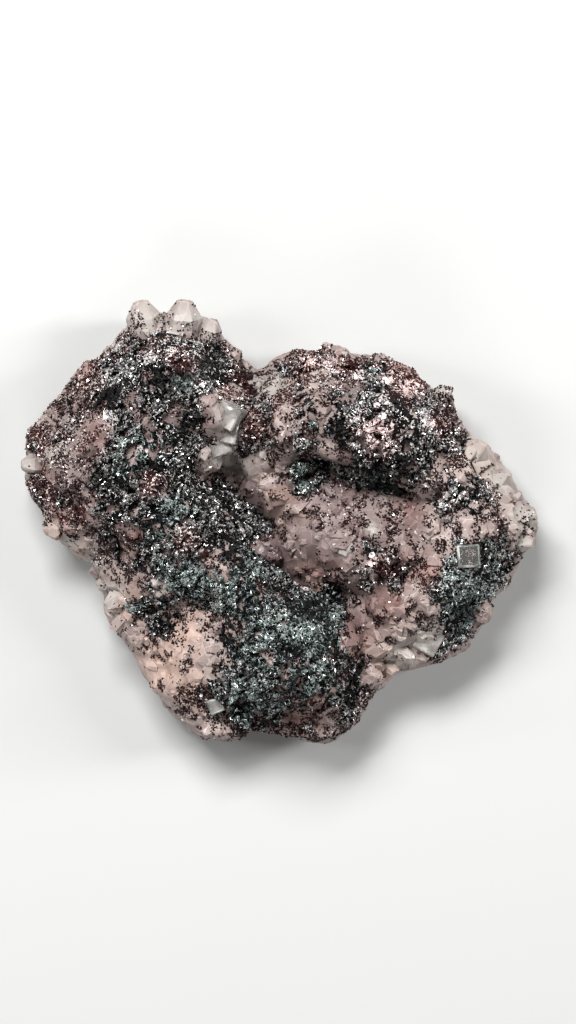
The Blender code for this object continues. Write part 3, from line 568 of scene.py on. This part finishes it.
def ground_material():
    """What shows between the platelets: nearly black, with finer platelets as grains in it, painted lighter
    on raised lumps.
    """
    material, tree, shader = new_material("hematite_ground")
    dark = mottled(tree, (0.001, 0.001, 0.001), (0.008, 0.008, 0.008), 600.0, 4000.0, 1.2)
    grain_tone = first_channel(tree, cell_texture(tree, object_place(tree), 4200.0, "Color"))
    steel = blend(tree, attribute(tree, "teal"), (0.10, 0.095, 0.095), (0.075, 0.11, 0.11))
    # The grains are lighter only on raised lumps and black in the creases: painted light and shade
    raised = sums(tree, "MULTIPLY", rise(tree, grain_tone, 0.55, 1.0), attribute(tree, "raised"))
    grained = blend(tree, raised, dark["Color"], steel)
    ruddy = sums(tree, "MULTIPLY", attribute(tree, "ruddy"), 0.8)
    height = group_node(tree, GROWTH, {"Step Scale": 2200.0, "Pit Scale": 6000.0, "Pits": 0.8})
    bump = node(tree, "ShaderNodeBump", {
        "Height": height.outputs["Height"], "Strength": 0.7, "Distance": 0.1 * MM,
    })
    fill(tree, shader, {
        "Base Color": blend(tree, ruddy, grained, (0.032, 0.009, 0.008)),
        "Normal": bump.outputs["Normal"], "Roughness": 0.6, "Specular IOR Level": 0.12,
    })
    return material


def fluorite_material(name, low, high, roughness, transmission, tilt):
    """Fluorite with a faint tint that wanders between two colours, clear or milky, and stepped faces."""
    material, tree, shader = new_material(name)
    faces = group_node(tree, FACETS, {"Scale": 560.0, "Tilt": tilt}).outputs
    fill(tree, shader, {
        "Base Color": mottled(tree, low, high, 500.0, 3500.0, 0.5)["Color"],
        "Normal": faces["Normal"], "Roughness": roughness, "IOR": 1.434,
        "Transmission Weight": transmission,
    })
    absorb = node(
        tree, "ShaderNodeVolumeAbsorption", {"Color": (0.86, 0.80, 0.81, 1.0), "Density": 40.0}
    )
    fill(tree, tree.nodes["Material Output"].inputs, {"Volume": absorb.outputs["Volume"]})
    return material


# Working on a surface

def select_only(obj):
    bpy.ops.object.select_all(action="DESELECT")
    obj.select_set(True)
    bpy.context.view_layer.objects.active = obj


def linked(name, mesh):
    piece = bpy.data.objects.new(name, mesh)
    mesh.name = name
    bpy.context.scene.collection.objects.link(piece)
    return piece


def copy_of(cad_name, name, material):
    """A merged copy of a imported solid, as a new piece."""
    piece = linked(name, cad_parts[cad_name].data.copy())
    select_only(piece)
    bpy.ops.mesh.customdata_custom_splitnormals_clear()
    bpy.ops.object.mode_set(mode="EDIT")
    bpy.ops.mesh.select_all(action="SELECT")
    bpy.ops.mesh.remove_doubles(threshold=WELD)
    bpy.ops.object.mode_set(mode="OBJECT")
    piece.data.materials.clear()
    piece.data.materials.append(material)
    return piece


def apply(piece, kind, **settings):
    """Adds a modifier, sets it and applies it."""
    step = piece.modifiers.new(kind.lower(), kind)
    for name, value in settings.items():
        setattr(step, name, value)
    select_only(piece)
    bpy.ops.object.modifier_apply(modifier=step.name)


def subdivide(piece, levels):
    apply(piece, "SUBSURF", subdivision_type="SIMPLE", levels=levels, render_levels=levels)


def vectors_of(piece, kind):
    """Each vertex's place ("co") or normal ("normal"), a row each."""
    values = np.empty(len(piece.data.vertices) * 3, np.float32)
    piece.data.vertices.foreach_get(kind, values)
    return values.reshape(-1, 3)


def move_to(piece, places):
    piece.data.vertices.foreach_set("co", places.ravel())
    piece.data.update()


def paint(piece, name, values):
    inherited = piece.data.attributes.get(name)
    if inherited:
        piece.data.attributes.remove(inherited)
    layer = piece.data.attributes.new(name, "FLOAT", "POINT")
    layer.data.foreach_set("value", np.clip(values, 0.0, 1.0).astype(np.float32))


def growing(values, start, stretch):
    """A share that is 0 up to the start and 1 from a stretch after it."""
    return np.clip((values - start) / stretch, 0.0, 1.0)


def fading(values, end, stretch):
    """A share that is 1 up to a stretch before the end and 0 from the end."""
    return np.clip((end - values) / stretch, 0.0, 1.0)


def from_middle(places, x, y, radius):
    """How far each place is from a zone's middle, in radii."""
    return np.hypot(places[:, 0] - x * MM, places[:, 1] - y * MM) / (radius * MM)


def zone_share(places, ragged, zones, softness):
    """How far each place is inside the nearest of the round zones, from 0 to 1, with a ragged edge."""
    share = np.zeros(len(places))
    for zone in zones:
        share = np.maximum(share, (1.0 - from_middle(places, *zone) - ragged) / softness)
    return np.clip(share, 0.0, 1.0)


def painted_share(places, ragged, name):
    zones, softness, most = PAINTED[name]
    return zone_share(places, ragged, zones, softness) * most


def large_crystals(places):
    return zone_share(places, np.zeros(len(places)), LARGE_CRYSTALS, CLEAN_SOFTNESS)


def raggedness(places):
    return np.array([noise.noise(Vector(place) * RAGGED_SCALE) for place in places]) * RAGGED_DEPTH


def paint_zones(piece):
    """Paints every colour zone on a surface, painted shade and painted glints among them."""
    places = vectors_of(piece, "co")
    ragged = raggedness(places)
    for name in PAINTED:
        paint(piece, name, painted_share(places, ragged, name))
    # More platelets are painted as glints in the frosted zones and patches, partly whitish grains
    frosted = FROST_EVERYWHERE + FROST_IN_ZONES * zone_share(places, ragged, FROST_AND_PAINTED_GLINTS, FROST_SOFTNESS)
    paint(piece, "frosted", frosted + FROST_IN_PATCHES * noise_of(places, FROST_PATCH))
    # Painted shade in the quartz hollows, with a duskier tint on some western quartz
    paint(piece, "painted_shade_and_tint", spotted(places, PAINTED_SHADE_AND_TINT, 0.0))


def noise_of(places, size, basis="PERLIN_ORIGINAL", octaves=1):
    """Noise whose features are about this size, at each place."""
    total = np.zeros(len(places))
    for octave in range(octaves):
        scale = 2.0 ** octave / size
        total += [noise.noise(Vector(place) * scale, noise_basis=basis) / 2.0 ** octave for place in places]
    return total


def cells_of(places, size):
    """Rounded cells of about this size: 1 in their middles and 0 in the creases between them."""
    return np.clip((noise_of(places, size, "VORONOI_F2F1") + 1.0) / 0.8, 0.0, 1.0) ** 0.6


def ranked(values):
    """The values' ranks, evenly from 0 to 1.

    A share of the surface then lies below its own number.
    """
    ranks = np.empty(len(values))
    ranks[np.argsort(values, kind="stable")] = np.linspace(0.0, 1.0, len(values))
    return ranks


def patched(share, field, edge):
    """Patches that cover this share of a surface, where the ranked field is lowest."""
    return np.clip((share - field) / edge + 0.5, 0.0, 1.0)


def spotted(places, zones, everywhere):
    """The share of each place that its nearest zones give."""
    share = np.full(len(places), everywhere)
    for x, y, radius, most in zones:
        inside = np.clip(1.7 - 1.2 * from_middle(places, x, y, radius), 0.0, 1.0)
        share = np.maximum(share, most * inside)
    return share


def unit(vectors):
    return vectors / np.maximum(np.linalg.norm(vectors, axis=-1, keepdims=True), 1e-9)


# Small shapes, each modelled once

def choose_faces(piece, chosen):
    """Goes into edit mode with only the chosen faces selected."""
    bpy.ops.object.mode_set(mode="EDIT")
    bpy.ops.mesh.select_mode(type="FACE")
    bpy.ops.mesh.select_all(action="DESELECT")
    bpy.ops.object.mode_set(mode="OBJECT")
    for face in piece.data.polygons:
        face.select = chosen(face)
    bpy.ops.object.mode_set(mode="EDIT")


def platelet(name, length, width, thick, sides, material):
    """A thin plate that lies flat on its middle."""
    bpy.ops.object.select_all(action="DESELECT")
    bpy.ops.mesh.primitive_cylinder_add(
        vertices=sides, radius=length / 2, depth=thick, location=(0, 0, 0)
    )
    plate = bpy.context.object
    plate.name = name
    bpy.ops.object.mode_set(mode="EDIT")
    bpy.ops.mesh.select_all(action="SELECT")
    bpy.ops.transform.resize(value=(1.0, width / length, 1.0), center_override=(0, 0, 0))
    bpy.ops.object.mode_set(mode="OBJECT")
    plate.data.materials.append(material)
    return plate


def splinter(name, width, height, material):
    """A grain with four sharp corners, its foot just under its middle."""
    bpy.ops.object.select_all(action="DESELECT")
    bpy.ops.mesh.primitive_cone_add(
        vertices=3, radius1=width / 2, depth=height, location=(0, 0, height / 4)
    )
    grain = bpy.context.object
    grain.name = name
    bpy.ops.object.transform_apply(location=True, rotation=True, scale=True)
    grain.data.materials.append(material)
    return grain


def quartz_crystal(name, sides, width, stretch, tip, lean, blunt, seed, material):
    """A crystal that stands out of the rock by its tip, uneven, leaning and ending in a small face.

    Its corners, edges and faces are sorted at the end, so that they come in the same order each run.
    """
    middle = (lean * width, 0, tip - POINT_FOOT / 2)
    bpy.ops.object.select_all(action="DESELECT")
    bpy.ops.mesh.primitive_cylinder_add(
        vertices=sides, radius=width / 2, depth=POINT_FOOT, location=(0, 0, -POINT_FOOT / 2)
    )
    crystal = bpy.context.object
    crystal.name = name
    choose_faces(crystal, lambda face: face.normal.z > 0.9)
    bpy.ops.mesh.extrude_region_move(TRANSFORM_OT_translate={"value": (lean * width, 0, tip)})
    bpy.ops.transform.resize(value=(blunt, blunt, 1.0), center_override=middle)
    bpy.ops.mesh.select_all(action="SELECT")
    bpy.ops.transform.resize(value=(stretch, 1.0, 1.0), center_override=(0, 0, 0))
    bpy.ops.transform.vertex_random(offset=0.07 * width, seed=seed)
    bpy.ops.mesh.sort_elements(type="CURSOR_DISTANCE", elements={"VERT", "EDGE", "FACE"})
    bpy.ops.object.mode_set(mode="OBJECT")
    bpy.ops.object.transform_apply(location=True, rotation=True, scale=True)
    crystal.data.materials.append(material)
    return crystal


def strewing(name, kinds, density, cover, seed, tilt, scale, sunk=(0.0, 0.0), up=(-0.3, 0.2),
             clear=0.3 * MM):
    """Geometry nodes that stand copies of the kinds on a surface, as thickly as its cover says.

    Density is the number on a square metre where the cover is 1, tilt is in degrees, and up is how
    far up a surface has to face to be covered at all and to be covered fully. Nothing stands where
    another part of the surface lies nearer above it than clear.
    """
    tree = bpy.data.node_groups.new(name, "GeometryNodeTree")
    for way in ("INPUT", "OUTPUT"):
        tree.interface.new_socket("Geometry", in_out=way, socket_type="NodeSocketGeometry")
    given = tree.nodes.new("NodeGroupInput").outputs[0]
    result = tree.nodes.new("NodeGroupOutput").inputs[0]

    def chance(low, high, offset):
        return node(
            tree, "FunctionNodeRandomValue", {2: low, 3: high, "Seed": seed + offset}, data_type="FLOAT"
        ).outputs[1]

    def turned(rotation, axis, angle):
        turn = node(tree, "FunctionNodeAxisAngleToRotation", {"Axis": axis, "Angle": angle}).outputs[0]
        return node(
            tree, "FunctionNodeRotateRotation", {0: rotation, 1: turn}, rotation_space="LOCAL"
        ).outputs[0]

    covered = node(tree, "GeometryNodeInputNamedAttribute", {"Name": cover}, data_type="FLOAT").outputs[0]
    normal = tree.nodes.new("GeometryNodeInputNormal").outputs[0]
    facing = node(tree, "ShaderNodeSeparateXYZ", {0: normal}).outputs["Z"]
    thickly = sums(tree, "MULTIPLY", covered, rise(tree, facing, *up))
    points = node(tree, "GeometryNodeDistributePointsOnFaces", {
        "Mesh": given, "Density": sums(tree, "MULTIPLY", thickly, density), "Seed": seed,
    }).outputs
    here = tree.nodes.new("GeometryNodeInputPosition").outputs[0]
    start = vector_sums(tree, "ADD", scaled(tree, points["Normal"], RAY_START), here)
    above = node(tree, "GeometryNodeRaycast", {
        "Target Geometry": given, "Source Position": start, "Ray Direction": points["Normal"],
        "Ray Length": clear,
    }).outputs["Is Hit"]
    bare = {"Geometry": points["Points"], "Selection": above}
    places = node(tree, "GeometryNodeDeleteGeometry", bare).outputs[0]
    spun = turned(points["Rotation"], (0, 0, 1), chance(0.0, 2 * math.pi, 1))
    tilted = turned(spun, (1, 0, 0), chance(math.radians(tilt[0]), math.radians(tilt[1]), 2))
    rolled = turned(tilted, (0, 0, 1), chance(0.0, 2 * math.pi, 3))
    down = scaled(tree, points["Normal"], chance(*sunk, 6))
    places = node(tree, "GeometryNodeSetPosition", {"Geometry": places, "Offset": down}).outputs[0]
    kept = tree.nodes.new("GeometryNodeJoinGeometry")
    for kind in kinds:
        shape = node(tree, "GeometryNodeObjectInfo", {"Object": kind, "As Instance": True})
        tree.links.new(shape.outputs["Geometry"], kept.inputs[0])
    grown = node(tree, "GeometryNodeInstanceOnPoints", {
        "Points": places, "Instance": kept.outputs[0], "Pick Instance": True, "Rotation": rolled,
        "Scale": chance(*scale, 4),
    }).outputs[0]
    toned = node(tree, "GeometryNodeStoreNamedAttribute", {
        "Geometry": grown, "Name": "tone",
    }, data_type="FLOAT", domain="INSTANCE")
    tree.links.new(chance(0.0, 1.0, 5), toned.inputs["Value"])
    tree.links.new(node(tree, "GeometryNodeRealizeInstances", {0: toned.outputs[0]}).outputs[0], result)
    return tree


def strewn(surface, name, *growth, **settings):
    """A new piece of all that stands on this surface."""
    piece = linked(name, surface.data.copy())
    apply(piece, "NODES", node_group=strewing(name, *growth, **settings))
    return piece


def show(piece, slot, *cad_names):
    """Makes a piece part of the object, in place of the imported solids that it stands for."""
    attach(piece, "root")
    if cad_names:
        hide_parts(*cad_names)


def drop(*pieces):
    for piece in pieces:
        bpy.data.objects.remove(piece)


def joined_copy(name, pieces):
    """One surface of all these pieces, to strew things on."""
    copies = [linked(name, piece.data.copy()) for piece in pieces]
    select_only(copies[0])
    for copy in copies:
        copy.select_set(True)
    bpy.ops.object.join()
    return copies[0]


# The crusts

def border_distance(places):
    """How far each place lies inside the outline of its own crust, seen from above."""
    low = places[:, :2].min(axis=0) - 2 * CELL
    cells = np.floor((places[:, :2] - low) / CELL).astype(int)
    inside = np.zeros(cells.max(axis=0) + 3, bool)
    inside[cells[:, 0], cells[:, 1]] = True
    steps = np.zeros(inside.shape)
    left = inside.copy()
    for _ in range(int(2 * OPEN_BORDER / CELL)):
        steps += left
        left[1:-1, 1:-1] &= left[2:, 1:-1] & left[:-2, 1:-1] & left[1:-1, 2:] & left[1:-1, :-2]
    return steps[cells[:, 0], cells[:, 1]] * CELL


def grow_crust(cad_name, material):
    """The ground of a crust: knots on lumps, open down to the quartz in ragged patches."""
    crust = copy_of(cad_name, cad_name + "_ground", material)
    apply(crust, "REMESH", mode="VOXEL", voxel_size=CRUST_GRID)
    places = vectors_of(crust, "co")
    normals = vectors_of(crust, "normal")
    lumps = cells_of(places, LUMP_SIZE)
    knots = cells_of(places, KNOT_SIZE)
    hills = noise_of(places, HILL_SIZE)
    ragged = raggedness(places)
    share = spotted(places, OPENED, OPEN_EVERYWHERE)
    at_border = np.clip(1.0 - border_distance(places) / OPEN_BORDER, 0.0, 1.0)
    share += OPEN_AT_BORDER * at_border * (1.0 - share)
    field = ranked(noise_of(places + OPEN_NOISE_SHIFT, OPEN_PATCH, octaves=2))
    windows = zone_share(places, ragged * WINDOW_RAGGED, WINDOWS, WINDOW_SOFTNESS)
    opened = np.maximum(patched(share, field, OPEN_EDGE), windows)
    creases = (1.0 - lumps) * LUMP_DEPTH
    rise_by = CRUST_RISE + hills * HILL_DEPTH - creases - (1.0 - knots) * KNOT_DEPTH
    places += normals * rise_by[:, None]
    places[:, 2] -= opened * OPEN_DEPTH
    move_to(crust, places)
    paint_zones(crust)
    # How raised each place is: it thickens the cover, and the materials paint raised places lighter and
    # creases darker as painted light and shade
    raised = np.clip(lumps * knots * (1.6 + 2.2 * hills), 0.0, 1.0)
    paint(crust, "raised", raised)
    paint(crust, "opened", opened)
    teal = painted_share(places, ragged, "teal")
    painted_sparkle = painted_share(places, ragged, "painted_sparkle")
    cover = (1.0 - 0.85 * opened) * (0.3 + 0.7 * raised)
    paint(crust, "blade_cover", cover * (0.2 + 0.8 * teal))
    paint(crust, "flake_cover", cover * (1.0 - 0.5 * teal))
    # Large plates painted as glints stand in the painted sparkle zones
    paint(crust, "glitter_cover", cover * (0.015 + painted_sparkle) * (1.0 - 0.8 * teal))
    return crust


def closed_crust(crust_surface):
    """The part of the crusts that isn't open, to measure from."""
    mesh = crust_surface.data
    opened = np.empty(len(mesh.vertices), np.float32)
    mesh.attributes["opened"].data.foreach_get("value", opened)
    faces = [tuple(face.vertices) for face in mesh.polygons]
    closed = [face for face in faces if opened[list(face)].max() < OPEN_ENOUGH]
    return BVHTree.FromPolygons(vectors_of(crust_surface, "co").tolist(), closed)


def dress_crusts(crusts, shapes):
    """Stands the platelets and grains on each crust."""
    for number, (cad_name, crust) in enumerate(crusts.items()):
        show(crust, "hematite", cad_name)
        for growth, kind, density, cover, seed, tilt, scale in CRUST_GROWTHS:
            if kind == "blade" and cad_name == PALE_CRUST:
                kind = "pale_blade"
            piece = strewn(
                crust, f"{cad_name}_{growth}", [shapes[kind]], density, cover, seed + number, tilt, scale
            )
            show(piece, "hematite", cad_name)


# The quartz

def grow_quartz(material):
    """The quartz body, its edges softened as on etched crystals."""
    body = copy_of("quartz_matrix", "quartz_body", material)
    apply(body, "BEVEL", width=QUARTZ_BEVEL, segments=1, limit_method="ANGLE", angle_limit=math.radians(25))
    apply(body, "TRIANGULATE")
    subdivide(body, 1)
    paint_zones(body)
    return body


def druse(places, normals, rng):
    """How far each place of a surface rises to the crystals side by side on it, and its crystal's tone."""
    cells = np.floor(places / CRYSTAL_SPACING).astype(int)
    order = rng.permutation(len(places))
    first = np.unique(cells[order], axis=0, return_index=True)[1]
    seeds = order[np.sort(first)]
    middles = places[seeds]
    axes = unit(normals[seeds] + rng.normal(0.0, CRYSTAL_LEAN, (len(seeds), 3)))
    across = unit(np.cross(axes, rng.normal(0.0, 1.0, (len(seeds), 3))))
    along = np.cross(axes, across)
    top = rng.uniform(*CRYSTAL_RISE, len(seeds))
    slope = rng.uniform(*CRYSTAL_SLOPE, len(seeds))
    blunt = rng.uniform(*CRYSTAL_BLUNT, len(seeds))

    finder = KDTree(len(seeds))
    for number, middle in enumerate(middles):
        finder.insert(middle, number)
    finder.balance()
    near = np.array([[found[1] for found in finder.find_n(place, NEIGHBOURS)] for place in places])
    offset = places[:, None] - middles[near]
    up, side, front = (
        np.einsum("vnc,vnc->vn", offset, direction[near]) for direction in (axes, across, along)
    )
    slanted = np.maximum(np.abs(side / 2 + front * 0.866), np.abs(side / 2 - front * 0.866))
    out = np.maximum(np.abs(side), slanted)
    reach = top[near] - slope[near] * np.maximum(out - blunt[near], 0.0) - up
    winner = near[np.arange(len(places)), reach.argmax(axis=1)]
    tones = rng.uniform(0.0, 1.0, len(seeds))[winner]
    return np.clip(reach.max(axis=1), *CRYSTAL_LIMITS), tones


def grow_filling(material):
    """The quartz between the large blocks, all low crystals side by side."""
    filling = copy_of("quartz_matrix", "quartz_filling", material)
    apply(filling, "REMESH", mode="VOXEL", voxel_size=QUARTZ_GRID)
    apply(filling, "SMOOTH", factor=0.8, iterations=QUARTZ_SMOOTHING)
    places = vectors_of(filling, "co")
    normals = vectors_of(filling, "normal")
    risen, tones = druse(places, normals, np.random.default_rng(7))
    height = places[:, 2] / MM
    shoulder = growing(height, *CRYSTALS_FROM)
    low = fading(height, *BROKEN_TO) * growing(height, *BROKEN_FROM)
    broken = noise_of(places, BREAK_SIZE, octaves=3) - 0.5
    clean = large_crystals(places) * growing(height, *CLEAN_FROM)
    moved = (risen - CLEAN_DEPTH * clean) * shoulder + broken * BREAK_DEPTH * low
    places += normals * moved[:, None]
    places[:, 2] += PIT_FILLING * np.clip(1.0 - from_middle(places, *PIT) ** 2, 0.0, 1.0) * shoulder
    move_to(filling, places)
    paint(filling, "tone", tones)
    apply(filling, "DECIMATE", decimate_type="COLLAPSE", ratio=0.5)
    paint_zones(filling)
    return filling


def paint_cover(surface, closed):
    """Paints where the quartz is open, for its crystals, and how thickly platelets lie on it."""
    places = vectors_of(surface, "co")
    normals = vectors_of(surface, "normal")
    away = np.array([closed.find_nearest(place)[3] for place in places]) / MM
    covered = np.array([
        closed.ray_cast(place + normal * RAY_START, normal, COVERED_WITHIN)[0] is not None
        for place, normal in zip(places, normals)
    ])
    shoulder = growing(places[:, 2] / MM, *COVER_FROM)
    clean = large_crystals(places)
    points = growing(away, *POINTS_FROM_CRUST) * shoulder * (1.0 - clean)
    paint(surface, "open", points * ~covered)
    sideways = np.clip(1.0 - normals[:, 2], 0.0, 1.0)
    near = np.clip(1.0 - (away - PEPPER_RIM_FROM) / (PEPPER_RIM + sideways), 0.0, 1.0)
    at_rim = (PEPPER_RIM_SHARE + PEPPER_RIM_STEEP * sideways) * near ** PEPPER_RIM_POWER
    share = spotted(places, PEPPERED, PEPPER_EVERYWHERE) + at_rim
    share *= 1.0 - PEPPER_OFF_LARGE * clean
    field = ranked(noise_of(places, PEPPER_PATCH, octaves=2))
    patches = patched(PEPPER_THINNED * share, field, PEPPER_EDGE)
    single = PEPPER_SINGLE[0] + PEPPER_SINGLE[1] * share
    paint(surface, "pepper", np.maximum(patches, single) * shoulder * ~covered)


def build_quartz(closed):
    """The quartz with its small points. Gives back the whole surface that pepper can lie on."""
    quartz = quartz_material()
    body = grow_quartz(quartz)
    show(body, "quartz", "quartz_matrix")
    filling = grow_filling(quartz)
    show(filling, "quartz")
    for piece in (body, filling):
        paint_cover(piece, closed)
    crystals = [
        quartz_crystal(name, *point, seed, quartz)
        for seed, (name, point) in enumerate(QUARTZ_POINTS.items(), 1)
    ]
    tips = strewn(
        filling, "quartz_tips", crystals, 0.35e6, "open", 11, (3, 22), (0.35, 1.1),
        sunk=(-0.28 * MM, -0.03 * MM), up=(0.2, 0.7),
    )
    show(tips, "quartz")
    fine_tips = linked("fine_tips", tips.data.copy())
    subdivide(fine_tips, 2)
    paint_cover(fine_tips, closed)
    surface = joined_copy("quartz_surface", (body, filling, fine_tips))
    drop(fine_tips, *crystals)
    return surface


def pepper_quartz(surface, shapes):
    """Strews the loose platelets and grains on the quartz."""
    for name, kind, density, seed in (
        ("hematite_pepper_plates", "speck", 12.5e6, 21),
        ("hematite_pepper_grains", "crumb", 24.0e6, 22),
    ):
        pepper = strewn(
            surface, name, [shapes[kind]], density, "pepper", seed, (0, 80), (0.45, 1.05),
            up=(0.0, 0.4), clear=0.6 * MM,
        )
        show(pepper, "hematite")


# The fluorite

def frost_edges(cube, frosted):
    """Gives a cube a frosted rim along the edges of its faces, which catches the light."""
    cube.data.materials.append(frosted)
    choose_faces(cube, lambda face: face.area > SMALL_FACE)
    bpy.ops.mesh.inset(thickness=FLUORITE_EDGE, depth=0.0)
    bpy.ops.mesh.select_all(action="INVERT")
    cube.active_material_index = 1
    bpy.ops.object.material_slot_assign()
    bpy.ops.object.mode_set(mode="OBJECT")


def place_fluorite():
    clear = fluorite_material(
        "fluorite_clear", (0.90, 0.88, 0.86), (0.97, 0.96, 0.94), 0.05, 0.95, 0.02
    )
    milky = fluorite_material(
        "fluorite_milky", (0.30, 0.28, 0.265), (0.50, 0.475, 0.45), 0.25, 0.6, 0.30
    )
    frosted = fluorite_material(
        "fluorite_frosted", (0.10, 0.11, 0.105), (0.64, 0.66, 0.63), 0.4, 0.4, 0.3
    )
    for cad_name in FLUORITES:
        cube = copy_of(cad_name, cad_name + "_clear", clear if cad_name == CLEAR_CUBE else milky)
        if cad_name.endswith("_cube"):
            frost_edges(cube, frosted)
        show(cube, "fluorite", cad_name)


# The specimen

def build_specimen():
    finishes = {
        name: hematite_material("hematite_" + name, *values)
        for name, values in PLATELET_FINISHES.items()
    }
    shapes = {
        name: platelet(name, *sizes, finishes[finish]) for name, (*sizes, finish) in PLATELETS.items()
    }
    for name, (width, height, finish) in GRAINS.items():
        shapes[name] = splinter(name, width, height, finishes[finish])

    ground = ground_material()
    crusts = {name: grow_crust(name, ground) for name in CRUSTS}
    crust_surface = joined_copy("crust_surface", crusts.values())
    quartz_surface = build_quartz(closed_crust(crust_surface))
    pepper_quartz(quartz_surface, shapes)
    dress_crusts(crusts, shapes)
    # Large plates, mostly painted as glints, where sparkle is painted on the crusts
    glitters = strewn(
        crust_surface, "hematite_glitter", [shapes["glitter"]], 2.6e6, "glitter_cover", 91, (0, 50),
        (0.5, 1.2), up=(-0.3, 0.1),
    )
    show(glitters, "hematite")
    place_fluorite()
    drop(crust_surface, quartz_surface, *shapes.values())


# The studio

def lay_floor():
    bpy.ops.object.select_all(action="DESELECT")
    bpy.ops.mesh.primitive_plane_add(size=3.0, location=(0, 0, 0))
    floor = bpy.context.object
    floor.name = "floor"
    material, tree, shader = new_material("floor_matt")
    fill(tree, shader, {"Base Color": (0.32, 0.32, 0.315, 1.0), "Roughness": 0.9})
    floor.data.materials.append(material)


def hang_light(name, place, size, power):
    lamp = bpy.data.lights.new(name, "AREA")
    lamp.shape = "RECTANGLE"
    lamp.size, lamp.size_y = size
    lamp.energy = power
    holder = bpy.data.objects.new(name, lamp)
    holder.location = place
    aim = Vector((0.0, 0.0, OUTLINE_HEIGHT)) - Vector(place)
    holder.rotation_euler = aim.to_track_quat("-Z", "Y").to_euler()
    bpy.context.scene.collection.objects.link(holder)


def set_lights():
    for name, settings in LIGHTS.items():
        hang_light(name, *settings)
    world = bpy.data.worlds.new("studio")
    bpy.context.scene.world = world
    world.use_nodes = True
    sky = world.node_tree.nodes["Background"].inputs
    fill(world.node_tree, sky, {"Color": (0.55, 0.57, 0.6, 1.0), "Strength": 0.07})
    bpy.context.scene.view_settings.view_transform = "Standard"
    bpy.context.scene.view_settings.gamma = 0.88


def set_camera():
    """Looks straight down, so that a pixel of the photograph is one PIXEL at the outline's height."""
    camera = bpy.data.cameras.new("camera")
    camera.sensor_fit = "VERTICAL"
    camera.sensor_height = 24.0
    camera.lens = camera.sensor_height * (CAMERA_HEIGHT - OUTLINE_HEIGHT) / (PHOTO_HEIGHT * PIXEL)
    camera.clip_start = 0.01
    stand = bpy.data.objects.new("camera", camera)
    stand.location = (
        (PHOTO_WIDTH / 2 - SPECIMEN_MIDDLE_PX[0]) * PIXEL,
        (SPECIMEN_MIDDLE_PX[1] - PHOTO_HEIGHT / 2) * PIXEL,
        CAMERA_HEIGHT,
    )
    bpy.context.scene.collection.objects.link(stand)
    bpy.context.scene.camera = stand


build_specimen()
lay_floor()
set_lights()
set_camera()
